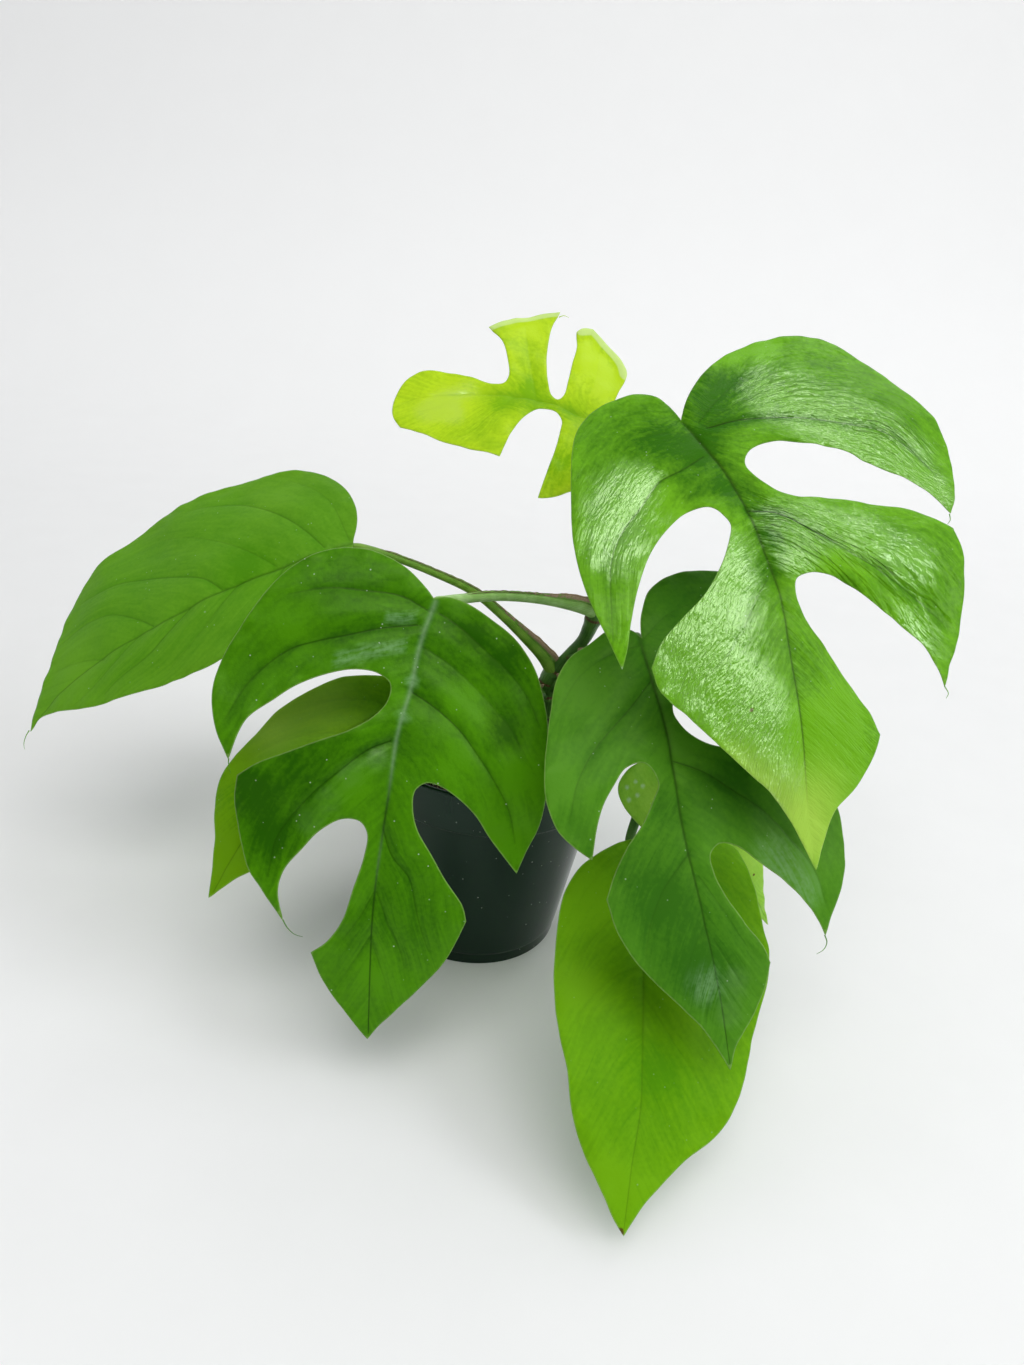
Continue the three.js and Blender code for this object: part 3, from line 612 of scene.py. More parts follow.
            "gold_and_painted_light": [(138, -8, 12), (150, 0, 10), (120, -20, 8), (136, 6, 11), (147, -3, 9), (128, -13, 9)],
            "fresh": [
                (-26, 26, 8), (-31, 42, 8), (94, -20, 10), (106, -8, 11), (126, -12, 12), (116, 16, 9),
                (146, -2, 12), (28, -18, 10), (134, 6, 16), (142, 2, 12), (110, 18, 8), (118, -2, 9),
                (63, 39, 9),
            ],
            "spot": [(105, -9, 0.8)],
            "speck": [(83, -45, 0.9)],
            # The deep marks darken the green where the blade shows dark: painted shade. They also lessen the
            # gloss.
            "deep": [
                (-8, 9, 13), (-18, 24, 10), (8, -12, 11), (30, 8, 9), (22, 30, 8), (72, 34, 6),
                (30, -8, 6), (12, 2, 7), (62, 11, 5), (50, 14, 5),
            ],
            "shine": [
                (-8, 36, 13), (2, 48, 16), (14, 62, 15), (28, 74, 13), (42, 80, 10), (46, 20, 9),
                (49, 34, 10), (56, 48, 10), (66, 60, 10), (92, 52, 10), (32, -33, 11), (44, -38, 9),
                (20, -24, 9), (56, -5, 11), (68, -14, 16), (82, -22, 16), (98, -18, 14), (106, -8, 10),
                (128, -10, 12), (60, 20, 6),
            ],
            "creased": [
                (0, 56, 14), (16, 70, 13), (46, 18, 8), (54, 30, 11), (66, 46, 12), (80, 60, 10),
                (-8, 40, 11),
            ],
        },
    },
    "front_right": {
        "base": (49, -46, 162), "tip": (89, -132, 55), "faces": (-80, 35),
        "arch": 9, "droop": 0.014, "wave": (1.4, 50, 2.2),
        "midrib": [(0, 0), (15, 0), (38, 0), (67, -2), (96, -1), (120, 0), (143, 0)],
        "edge": [
            [
                (1, 1), (-2, -2), (-3, -10), (1, -18), (5, -26), (12, -32), (22, -36), (33, -40),
                (45, -43.5), (54, -44), (62, -42), (68, -38), (73, -33),
            ],
            [
                (73, -33), (64, -30), (56, -26), (51, -22), (46, -17), (45, -11), (48, -8), (53, -7),
                (58, -10), (65, -15), (71, -21), (79, -27), (86, -31),
            ],
            [(86, -31), (95, -30), (105, -26), (114, -20), (123, -13), (131, -7), (145, 0)],
            [(145, 0), (138, 3), (131, 9), (123, 15), (115, 19)],
            [
                (115, 19), (109, 17), (101, 12), (93, 8), (84, 5), (78, 5), (75, 9), (77, 15), (83, 21),
                (91, 29), (99, 35), (104, 38), (110, 40),
            ],
            [(110, 40), (103, 44), (95, 49), (84, 53), (72, 55), (62, 53)],
            [
                (62, 53), (54, 44), (48, 32), (45, 20), (42, 12), (37, 6.5), (31, 4), (26, 5), (23, 11),
                (23, 21), (27, 32), (34, 43), (42, 51),
            ],
            [
                (42, 51), (32, 58), (18, 61), (4, 60), (-9, 55), (-18, 47), (-22, 37), (-23, 25),
                (-21, 16), (-16, 8), (-9.5, 4), (-5, 2), (1, 1),
            ],
        ],
        "stalk": [
            (39.6, 16.8, 152, 2.8), (42, 7, 150, 2.3), (44.5, -12, 150, 1.9), (46.5, -28, 154, 1.9),
            (48, -38, 157, 2.0),
        ],
        "veins": [
            (0.5, [(4, -1), (6, -12), (12, -24), (22, -33)]),
            (0.9, [(18, -1), (26, -10), (33, -19), (39, -26), (48, -33), (60, -38)]),
            (0.6, [(76, -1), (81, -7), (87, -13), (97, -19), (106, -22)]),
            (0.3, [(98, 0), (106, -6), (115, -11)]),
            (0.3, [(116, 1), (123, -4), (130, -6)]),
            (0.4, [(2, 1), (-6, 12), (-10, 28), (-8, 44)]),
            (0.3, [(10, 1), (10, 14), (14, 30), (20, 44), (26, 54)]),
            (1, [(46, 0), (52, 10), (59, 18), (67, 27), (77, 34), (88, 40), (100, 42)]),
            (0.5, [(84, 0), (94, 5), (103, 9), (112, 14)]),
            (0.4, [(104, 1), (113, 5), (122, 9)]),
        ],
        "hooks": [[(110, 40), (112.5, 40.5), (114.5, 39), (115.5, 36)]],
        "skin": skin_of(
            (0.0273, 0.1322, 0.006), (0.0756, 0.252, 0.012), (0.035, 0.13, 0.02), rib_width=1.0, dust=0.6,
            pleat=1.0, vein=0.8, gloss=0.07, sleek=0.36,
        ),
        "marks": {
            "deep": [(74, -26, 10), (90, -12, 12), (112, -6, 11), (60, -8, 8), (52, 22, 8), (30, 26, 8)],
            # Fresh marks at (84, 30) and (92, 36) and the film marks beside them brighten the right lobe in
            # the upper-right leaf's shade: painted light.
            "fresh": [(18, -22, 11), (48, -36, 8), (-8, 40, 12), (84, 30, 9), (92, 36, 9), (46, 2, 9)],
            "shine": [(118, 6, 5), (128, 2, 5)],
            "film_and_sheen": [(84, 28, 10), (96, 34, 7), (118, -4, 7)],
        },
    },
    "low_right": {
        "base": (58, -52, 82), "tip": (60, -162, 12), "faces": (-80, 52),
        "arch": 9, "droop": 0.018, "wave": (1.5, 44, 1),
        "midrib": [(0, 0), (20, 2), (56, 3), (83, 3), (96, 3), (113, 1), (130, 0)],
        "edge": [
            [
                (0, 0), (3, -5), (9, -13), (16, -20), (26, -25), (36, -27), (54, -28), (64, -27),
                (75, -25), (86, -22), (100, -19), (111, -14), (119, -9), (127, -4), (132, 0),
            ],
            [
                (132, 0), (124, 5), (116, 12), (109, 19), (101, 29), (92, 35), (79, 40), (68, 43),
                (58, 46), (48, 49), (38, 51), (28, 50.5), (17, 49), (7, 46.5), (-3, 42.5), (-6, 37),
                (-2, 29), (2, 20), (3, 10), (0, 0),
            ],
        ],
        "stalk": [
            (23, 30, 101, 3.4), (37, 17, 113, 2.4), (52, -3, 119, 1.9), (60, -21, 112, 1.8),
            (61, -34, 100, 1.8), (60, -43, 88, 1.9),
        ],
        "veins": [
            (0.4, [(4, 0), (12, -8), (22, -16), (34, -22)]),
            (0.5, [(24, 2), (34, -8), (46, -17), (58, -22)]),
            (0.4, [(49, 3), (56, -8), (66, -17), (78, -21)]),
            (0.3, [(72, 3), (82, -6), (94, -13)]),
            (0.3, [(94, 3), (103, -4), (112, -8)]),
            (0.3, [(2, 2), (4, 14), (8, 28), (16, 40)]),
            (0.4, [(14, 2), (20, 14), (30, 28), (42, 40)]),
            (0.5, [(36, 2), (46, 14), (58, 26), (70, 34)]),
            (0.4, [(60, 3), (72, 12), (84, 21), (92, 26)]),
            (0.3, [(84, 3), (95, 9), (104, 14)]),
        ],
        "hooks": [],
        "skin": skin_of(
            (0.07, 0.255, 0.001), (0.15, 0.385, 0.003), (0.05, 0.18, 0.004), rib_width=1.0, dust=0.3,
            vein=0.4, wrinkle=0.12, rough=0.58, gloss=0.04, glaze=0.4, sleek=0.4,
        ),
        "marks": {
            "spot": [(131, -1, 1.2)],
            # The fresh marks at (28, -14) and (60, -18) lighten the front-right leaf's shadow: painted
            # light.
            "fresh": [(28, -14, 14), (60, -18, 9), (60, 20, 12), (118, -4, 10)],
            "deep": [(84, 8, 8)],
        },
    },
    "back_right": {
        "base": (84, -31, 98), "tip": (124, -29, 33), "faces": (-60, 36),
        "arch": 4, "droop": 0.016, "wave": (1, 36, 0),
        "midrib": [(0, 0), (18, -1), (40, -2), (60, -2), (75, 0)],
        "edge": [
            [(0, 0), (-8, 0), (-15, -5), (-20, -13), (-23, -22), (-20, -31), (-13, -33), (-3, -32)],
            [
                (-3, -32), (-1, -26), (4, -22), (13, -20), (25, -19), (36, -17), (47, -13), (58, -8.5),
                (68, -4), (79, 0),
            ],
            [(79, 0), (68, 1.5), (59, 4), (50, 7), (41, 12), (29, 17), (16, 18), (5, 14), (-2, 7), (0, 0)],
        ],
        "stalk": [
            (30, 26, 119, 2.5), (44, 16, 125, 2.1), (59, 2, 123, 1.7), (69, -12, 111, 1.7),
            (75, -20, 102.5, 1.7), (79.5, -26, 98, 1.8),
        ],
        "veins": [
            (0.5, [(2, -1), (-6, -8), (-12, -18), (-12, -28)]),
            (0.4, [(12, -1), (18, -7), (28, -13), (38, -15)]),
            (0.3, [(32, -2), (42, -7), (52, -9)]),
            (0.4, [(8, 0), (14, 7), (24, 13)]),
            (0.4, [(26, -1), (34, 5), (44, 8)]),
            (0.3, [(46, -2), (54, 1), (62, 2)]),
        ],
        "hooks": [],
        "skin": skin_of(
            (0.13, 0.4, 0.02), (0.3, 0.6, 0.05), (0.12, 0.3, 0.03), rib_width=0.8, margin=0.35, dust=0.3,
            wrinkle=0.15, rough=0.42, gloss=0.12, sleek=0.3,
        ),
        "marks": {
            "spot": [(50, 1, 0.7)],
            "deep": [(-14, -14, 6)],
            "speck": [
                (-14, -30, 1.2), (-13.2, -26.2, 1.1), (-14.6, -22.4, 1.1), (-18.2, -27.8, 1.1),
                (-17.8, -23.8, 1),
            ],
            "gold_and_painted_light": [(-8, -20, 10), (42, 0, 14)],
        },
    },
}
print("leaves:", len(LEAVES), "side veins:", sum(len(leaf["veins"]) for leaf in LEAVES.values()))

# %% [markdown]
# ## From a few points to a smooth line
# The table holds only the points that the shape needs. A curve through them fills in the rest. It is
# made of cubic pieces whose pace follows the square root of the gap between points. Such a curve passes
# through every point and makes no loops where two of them are close, as round a narrow slot.


# %% Smooth lines
def smooth_line(points, step):
    """Points at even spacing along the smooth curve through the given ones."""
    points = np.array(points, float)
    ends = [2 * points[0] - points[1], 2 * points[-1] - points[-2]]
    padded = np.vstack([ends[0], points, ends[1]])
    s = np.linspace(0, 1, 20, endpoint=False)[:, None]
    fine = []
    for p0, p1, p2, p3 in zip(padded, padded[1:], padded[2:], padded[3:]):
        d0, d1, d2 = (max(np.linalg.norm(b - a), 1e-6) ** 0.5 for a, b in ((p0, p1), (p1, p2), (p2, p3)))
        out = ((p1 - p0) / d0 - (p2 - p0) / (d0 + d1) + (p2 - p1) / d1) * d1
        into = ((p2 - p1) / d1 - (p3 - p1) / (d1 + d2) + (p3 - p2) / d2) * d1
        cubic = 2 * (p1 - p2) + out + into
        square = 3 * (p2 - p1) - 2 * out - into
        fine.append(((cubic * s + square) * s + out) * s + p1)
    fine = np.vstack([*fine, points[-1]])
    travelled = np.r_[0, np.cumsum(np.linalg.norm(np.diff(fine, axis=0), axis=1))]
    stops = np.linspace(0, travelled[-1], max(3, int(round(travelled[-1] / step)) + 1))
    return np.stack([np.interp(stops, travelled, axis) for axis in fine.T], axis=1)


def outline_of(leaf, step):
    """The closed edge of a blade, each sharp corner once."""
    return np.vstack([smooth_line(stretch, step)[:-1] for stretch in leaf["edge"]])


edge_lengths = {name: round(len(outline_of(leaf, 1.0))) for name, leaf in LEAVES.items()}
print("edge lengths mm:", edge_lengths)

# %% [markdown]
# ## The bowed surface of a blade
# A living blade is never flat: it arches along its midrib, its sides droop and its edge ripples. The
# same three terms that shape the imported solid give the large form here. The frame of a leaf holds its
# own directions, so that a flat drawing in (along, across) can be laid on the bowed surface.


# %% Leaf frames
def frame_of(leaf):
    """Base, three directions and length of a leaf, in millimetres."""
    base = np.array(leaf["base"], float)
    chord = np.array(leaf["tip"], float) - base
    length = np.linalg.norm(chord)
    along = chord / length
    azimuth, elevation = (math.radians(angle) for angle in leaf["faces"])
    level = math.cos(elevation)
    out = np.array([math.cos(azimuth) * level, math.sin(azimuth) * level, math.sin(elevation)])
    out -= along * (out @ along)
    out /= np.linalg.norm(out)
    return {"base": base, "along": along, "across": np.cross(out, along), "out": out, "length": length}


def bow(leaf, length, flat):
    """How far the large form stands out of the flat at points of (along, across)."""
    u, v = flat[:, 0], np.abs(flat[:, 1])
    height, period, phase = leaf["wave"]
    ripple = height * np.minimum(1, v / 50) * np.sin(2 * math.pi * u / period + phase)
    return leaf["arch"] * 4 * u * (length - u) / length**2 - leaf["droop"] * v**1.5 + ripple


def on_blade(leaf, flat, lift=0.0):
    """Points of the bowed surface, in millimetres, lifted off it along the leaf's outward direction."""
    flat = np.atleast_2d(np.array(flat, float))
    own = frame_of(leaf)
    rise = bow(leaf, own["length"], flat) + lift
    placed = own["base"] + np.outer(flat[:, 0], own["along"]) + np.outer(flat[:, 1], own["across"])
    return placed + np.outer(rise, own["out"])


tips = {name: on_blade(leaf, leaf["edge"][0][-1])[0].round(0).tolist() for name, leaf in LEAVES.items()}
print("first corners mm:", tips)

# %% [markdown]
# ## Filling the outline with points
# The blade needs a mesh fine enough for creases a millimetre wide. A regular grid would leave a ragged
# edge, so the points are sorted first: those of the outline, those of the veins, then an even
# three-cornered field that keeps clear of both. A constrained triangulation joins them and drops what
# lies outside the edge, slots included.

# %% Points and triangles
EDGE_SPACING = 0.8
VEIN_SPACING = 0.9
FIELD_SPACING = 1.0
ROWS_BESIDE_VEIN = (0.6, -0.6, 1.4, -1.4)
ROW_GAP = 0.45
LINE_CLEAR = 0.6
FIELD_CLEAR = 0.62
EDGE_RULER = 0.25
VEIN_RULER = 0.3


def tree_of(points):
    """A search tree over flat points."""
    tree = kdtree.KDTree(len(points))
    for i, (u, v) in enumerate(points):
        tree.insert((u, v, 0), i)
    tree.balance()
    return tree


def nearest(points, tree):
    """Distance to the nearest point of a tree, and that point's number."""
    found = [tree.find((u, v, 0)) for u, v in points]
    return np.array([hit[2] for hit in found]), np.array([hit[1] for hit in found])


def inside(points, outline):
    """Which points the closed outline holds."""
    held = np.zeros(len(points), bool)
    u, v = points[:, 0], points[:, 1]
    for (u0, v0), (u1, v1) in zip(outline, np.roll(outline, -1, axis=0)):
        if v0 != v1:
            crosses = ((v0 > v) != (v1 > v)) & (u < (u1 - u0) * (v - v0) / (v1 - v0) + u0)
            held ^= crosses
    return held


def beside(line, away):
    """The line moved sideways."""
    step = np.gradient(line, axis=0)
    step /= np.linalg.norm(step, axis=1, keepdims=True)
    return line + away * np.stack([-step[:, 1], step[:, 0]], axis=1)


def well_inside(points, outline, edge_tree, share):
    """The points that the outline holds and that keep a share of its spacing from it."""
    points = points[inside(points, outline)]
    return points[nearest(points, edge_tree)[0] > share * EDGE_SPACING]


def fill_points(leaf):
    """Outline and inner points of a blade, flat. Some inner points follow the veins."""
    outline = outline_of(leaf, EDGE_SPACING)
    edge_tree = tree_of(outline_of(leaf, EDGE_RULER))
    lines = [smooth_line(leaf["midrib"], VEIN_SPACING)]
    lines += [smooth_line(vein, VEIN_SPACING) for _, vein in leaf["veins"]]
    on_veins = []
    for line in lines:
        line = well_inside(line, outline, edge_tree, LINE_CLEAR)
        if on_veins:
            line = line[nearest(line, tree_of(np.vstack(on_veins)))[0] > LINE_CLEAR * VEIN_SPACING]
        if len(line):
            on_veins.append(line)
    for line in lines:
        for away in ROWS_BESIDE_VEIN:
            row = well_inside(beside(line, away), outline, edge_tree, LINE_CLEAR)
            row = row[nearest(row, tree_of(np.vstack(on_veins)))[0] > ROW_GAP]
            on_veins.append(row)
    on_veins = np.vstack(on_veins)
    low, high = outline.min(0), outline.max(0)
    rows = np.arange(low[1], high[1], FIELD_SPACING * 0.866)
    field = []
    for number, v in enumerate(rows):
        u = np.arange(low[0] + 0.5 * FIELD_SPACING * (number % 2), high[0], FIELD_SPACING)
        field.append(np.stack([u, np.full_like(u, v)], axis=1))
    field = well_inside(np.vstack(field), outline, edge_tree, FIELD_CLEAR)
    field = field[nearest(field, tree_of(on_veins))[0] > FIELD_CLEAR * VEIN_SPACING]
    return outline, np.vstack([on_veins, field])


def triangles_of(outline, inner):
    """Counter-clockwise triangles that fill the outline."""
    points = [Vector(point) for point in np.vstack([outline, inner])]
    count = len(outline)
    rim = [(i, (i + 1) % count) for i in range(count)]
    made, _, faces, *_ = delaunay_2d_cdt(points, rim, [], 1, 1e-7, False)
    flat = np.array([tuple(point) for point in made])
    faces = np.array(faces)
    faces = faces[inside(flat[faces].mean(axis=1), outline)]
    a, b, c = (flat[faces[:, k]] for k in range(3))
    twice = (b[:, 0] - a[:, 0]) * (c[:, 1] - a[:, 1]) - (b[:, 1] - a[:, 1]) * (c[:, 0] - a[:, 0])
    faces[twice < 0] = faces[twice < 0][:, ::-1]
    return flat, faces


# %% [markdown]
# ## Where the small veins run
# Between two side veins the fine ones lie side by side like the teeth of a bent comb. A smooth field
# that keeps one value along each side vein gives their direction everywhere. From one vein to the next
# the value falls by at least their distance, so veins that fan out of one point stay apart in it. The
# field is the thin-plate surface through the values known on the veins, solved once for each half of
# the blade, so that the lines meet the midrib in a V.


# %% The flow of the fine veins
PLATE_SLACK = 20


def plate(distance):
    """The thin-plate kernel, r squared times log r."""
    safe = np.maximum(distance, 1e-6)
    return safe**2 * np.log(safe)


def thin_plate(points, values, wanted):
    """The smoothest surface through values at points, read at the wanted places."""
    gap = np.linalg.norm(points[:, None] - points[None], axis=2)
    count = len(points)
    flat = np.hstack([np.ones((count, 1)), points])
    system = np.block([[plate(gap) + PLATE_SLACK * np.eye(count), flat], [flat.T, np.zeros((3, 3))]])
    weights = np.linalg.solve(system, np.r_[values, 0, 0, 0])
    gap = np.linalg.norm(wanted[:, None] - points[None], axis=2)
    return plate(gap) @ weights[:count] + weights[count] + wanted @ weights[count + 1 :]


def leaf_length(leaf):
    return float(np.linalg.norm(np.array(leaf["tip"]) - np.array(leaf["base"])))


def flow_of(leaf, flat):
    """A value that is even along the fine veins and grows by about one a millimetre across them."""
    rib = smooth_line(leaf["midrib"], 6)
    rib_at = np.interp(flat[:, 0], rib[:, 0], rib[:, 1])
    right = flat[:, 1] > rib_at
    flow = np.zeros(len(flat))
    for side, chosen in ((1, right), (-1, ~right)):
        points, values = [rib], [rib[:, 0]]
        before, value = None, leaf_length(leaf)
        for _, vein in reversed(leaf["veins"]):
            end = vein[-1]
            if (end[1] - np.interp(end[0], rib[:, 0], rib[:, 1])) * side <= 0:
                continue
            line = smooth_line(vein, 3)
            middle = line[len(line) // 2]
            if before is not None:
                value -= np.linalg.norm(before - middle, axis=1).min()
            value = min(value, vein[0][0])
            inner = line[len(line) // 6 :: 2]
            points.append(inner)
            values.append(np.full(len(inner), value))
            before = line
        if chosen.any():
            flow[chosen] = thin_plate(np.vstack(points), np.concatenate(values), flat[chosen])
    return flow


# %% [markdown]
# ## Relief of the skin
# Seen close, the upper side is a landscape: a groove over the midrib, softer creases over the side
# veins, tissue that swells between them and a fine puckering. All of it is real geometry, because the
# glints on a glossy leaf follow true slopes. Noise with a fixed seed adds what has no rule.

# %% Relief
RIB_FOLD = 1.9
RIB_GROOVE_DEPTH = 0.22
VEIN_FOLD = 1.6
VEIN_CREASE_DEPTH = 0.12
ROLLED_RISE = 1.5
ROLL_WIDTH = 2.0
FAR_OFF = 99.0


def noise_at(points, size, seed):
    """Smooth noise from about -1 to 1 with lumps of a given size."""
    offset = Vector((13.7 * seed, 4.1 * seed, 2.9 * seed))
    return np.array([noise.noise(Vector((u / size, v / size, 0)) + offset) for u, v in points])


def relief_of(leaf, flat, far, seed):
    """Height of the fine relief in millimetres."""
    ease = np.clip(far["edge"] / 3, 0.25, 1)
    taper = np.interp(flat[:, 0], [0, 20, leaf_length(leaf)], [1.0, 1.0, 0.35])
    pleat = leaf["skin"]["pleat"] * far["clear"]
    fold = RIB_FOLD * taper * (1 - np.exp(-far["rib"] / 8))
    fold += pleat * VEIN_FOLD * (1 - np.exp(-far["vein"] / 5))
    groove = RIB_GROOVE_DEPTH * taper * np.exp(-((far["rib"] / 0.9) ** 2))
    crease = pleat * VEIN_CREASE_DEPTH * np.exp(-((far["vein"] / 0.7) ** 2))
    uneven = 0.6 * noise_at(flat, 20, seed) + 0.15 * noise_at(flat, 7, seed + 1)
    bent = np.stack([far["flow"], 0.25 * flat[:, 1]], axis=1)
    pucker = 0.22 * leaf["skin"]["wrinkle"] * noise_at(bent, 3.4, seed + 2)
    rolled = ROLLED_RISE * np.exp(-((far["rolled"] / 2.4) ** 2))
    rolled += 0.8 * np.exp(-far["edge"] / 5) * noise_at(flat, 6, seed + 3)
    return fold - 0.6 * RIB_FOLD - groove - crease + ease * (uneven + pucker) + rolled


def blended(flat, lines, values):
    """Values of the lines at each point, blended between neighbouring lines by nearness."""
    total = np.zeros(len(flat))
    weights = np.full(len(flat), 1e-9)
    for line, value in zip(lines, values):
        away, number = nearest(flat, tree_of(line))
        weight = 1 / (0.3 + away) ** 3
        total += weight * value[number]
        weights += weight
    return total / weights


def distances(leaf, flat):
    """How far each point lies from the edge, the midrib, a vein and a rolled end, and its flow."""
    rib = smooth_line(leaf["midrib"], VEIN_RULER)
    lines = [smooth_line(vein, VEIN_RULER) for _, vein in leaf["veins"]]
    clear = [
        strength * (1 - 0.7 * np.linspace(0, 1, len(line)) ** 2)
        for (strength, _), line in zip(leaf["veins"], lines)
    ]
    vein, _ = nearest(flat, tree_of(np.vstack(lines)))
    rolled = np.full(len(flat), FAR_OFF)
    for width, end in leaf.get("rolled", []):
        away = nearest(flat, tree_of(smooth_line(end, VEIN_RULER)))[0]
        rolled = np.minimum(rolled, away * ROLL_WIDTH / width)
    return {
        "edge": nearest(flat, tree_of(outline_of(leaf, EDGE_RULER)))[0],
        "rib": nearest(flat, tree_of(rib))[0],
        "vein": vein,
        "rolled": rolled,
        "clear": blended(flat, lines, clear),
        "flow": flow_of(leaf, flat),
    }


# %% [markdown]
# ## Marks on the skin
# Water film, glints, creases, yellowed, darker and fresher patches, brown spots and specks sit at places
# of the leaf's own drawing. Some of them are painted light and shade: the film also paints a pale sheen,
# and on some leaves the darker patches paint shade while the yellowed and fresher ones paint light on
# parts in shadow. Each point of the blade stores how strongly each kind is there, and the finish reads
# that later, so a mark moves with its leaf.

# %% Marks
# The film marks also paint a pale sheen; on some leaves the deep marks paint shade and the fresh and gold
# marks paint light.
MARK_KINDS = ("film_and_sheen", "shine", "creased", "gold_and_painted_light", "deep", "fresh", "spot", "speck")
FILM_FADE = 4


def marks_of(leaf, flat, flow):
    """How strongly each kind of mark is there: 1 in its middle, falling off over its radius."""
    shown = {kind: np.zeros(len(flat)) for kind in MARK_KINDS}
    for flow_from, flow_to, left, right in leaf.get("dust_and_sheen", []):
        inwards = [flow - flow_from, flow_to - flow, flat[:, 1] - left, right - flat[:, 1]]
        shown["film_and_sheen"] = np.maximum(shown["film_and_sheen"], np.clip(np.min(inwards, axis=0) / FILM_FADE, 0, 1))
    for kind, places in leaf["marks"].items():
        for u, v, radius in places:
            away = np.hypot(flat[:, 0] - u, flat[:, 1] - v)
            shown[kind] += np.exp(-((away / radius) ** 2))
    return shown


# %% [markdown]
# ## Giving the sheet its thickness
# The sheet gets two skins with the same triangles, so that they can't cross. The lower one is pushed
# down under the veins, where a real blade carries its ribs. Round the edge a third row of points stands
# out a little and makes the margin round, which is what catches the light there.

# %% Blade meshes
TISSUE = 0.5
MARGIN = 0.36
RIB_UNDER = 1.25
VEIN_UNDER = 0.4
HOOK_FACTS = {"edge": 0.3, "rib": 20, "vein": 20, "rolled": FAR_OFF, "under": 0.3}


def vertex_normals(points, faces):
    """Area-weighted normals of a triangle sheet."""
    a, b, c = (points[faces[:, k]] for k in range(3))
    face_normals = np.cross(b - a, c - a)
    normals = np.zeros_like(points)
    for k in range(3):
        np.add.at(normals, faces[:, k], face_normals)
    return normals / np.linalg.norm(normals, axis=1, keepdims=True)


def boundary_edges(faces):
    """Edges that only one triangle has, in its direction."""
    edges = np.vstack([faces[:, [0, 1]], faces[:, [1, 2]], faces[:, [2, 0]]])
    keys = {(a, b) for a, b in edges.tolist()}
    return np.array([(a, b) for a, b in edges.tolist() if (b, a) not in keys])


def blade_geometry(leaf, seed):
    """Points in millimetres, faces and per-point facts of one blade."""
    outline, inner = fill_points(leaf)
    flat, faces = triangles_of(outline, inner)
    far = distances(leaf, flat)
    middle = on_blade(leaf, flat, relief_of(leaf, flat, far, seed))
    normals = vertex_normals(middle, faces)
    half = 0.5 * (MARGIN + (TISSUE - MARGIN) * np.clip(far["edge"] / 1.5, 0, 1))
    taper = np.interp(flat[:, 0], [0, 15, leaf_length(leaf)], [1.0, 1.0, 0.3])
    ribs = RIB_UNDER * taper * np.exp(-((far["rib"] / 1.1) ** 2))
    ribs += VEIN_UNDER * far["clear"] * np.exp(-((far["vein"] / 0.9) ** 2))
    ribs *= np.clip(far["edge"] / 2, 0, 1)
    top = middle + normals * half[:, None]
    bottom = middle - normals * (half + ribs)[:, None]
    rim = boundary_edges(faces)
    used = np.unique(rim)
    number = {int(i): k for k, i in enumerate(used)}
    sideways = np.zeros((len(flat), 3))
    for a, b in rim:
        step = np.cross(middle[b] - middle[a], normals[a])
        sideways[a] += step
        sideways[b] += step
    sideways = sideways[used]
    sideways /= np.linalg.norm(sideways, axis=1, keepdims=True)
    brim = middle[used] + sideways * 0.5 * MARGIN
    count = len(flat)
    brim_of = {i: 2 * count + k for i, k in number.items()}
    quads = [(a, brim_of[a], brim_of[b], b) for a, b in rim.tolist()]
    quads += [(brim_of[a], a + count, b + count, brim_of[b]) for a, b in rim.tolist()]
    points = np.vstack([top, bottom, brim])
    all_faces = faces.tolist() + (faces[:, ::-1] + count).tolist() + quads
    side = np.r_[np.zeros(count), np.ones(count), np.full(len(used), 0.3)]
    marks = marks_of(leaf, flat, far["flow"])
    facts = {key: np.r_[values, values, values[used]] for key, values in (far | marks).items()}
    facts["under"] = side
    return points, all_faces, facts, np.vstack([flat, flat, flat[used]])


def hook_geometry(leaf, hook):
    """A hair-fine drip tip that carries a corner of the blade on, as a tapering thread."""
    path = on_blade(leaf, smooth_line(hook, 0.5))
    count = len(path)
    sides = 6
    radius = 0.5 * MARGIN * np.linspace(1.25, 0.35, count)
    own = frame_of(leaf)
    tangents = np.gradient(path, axis=0)
    across = np.cross(own["out"], tangents)
    across /= np.linalg.norm(across, axis=1, keepdims=True)
    rings = []
    for k in range(sides):
        angle = 2 * math.pi * k / sides
        rings.append(path + radius[:, None] * (math.cos(angle) * across + math.sin(angle) * own["out"]))
    points = np.stack(rings, axis=1).reshape(-1, 3)
    faces = [
        (i * sides + k, i * sides + (k + 1) % sides, (i + 1) * sides + (k + 1) % sides, (i + 1) * sides + k)
        for i in range(count - 1)
        for k in range(sides)
    ]
    faces += [tuple(range(sides))[::-1], tuple((count - 1) * sides + k for k in range(sides))]
    flat = np.repeat(smooth_line(hook, 0.5), sides, axis=0)
    return points, faces, flat


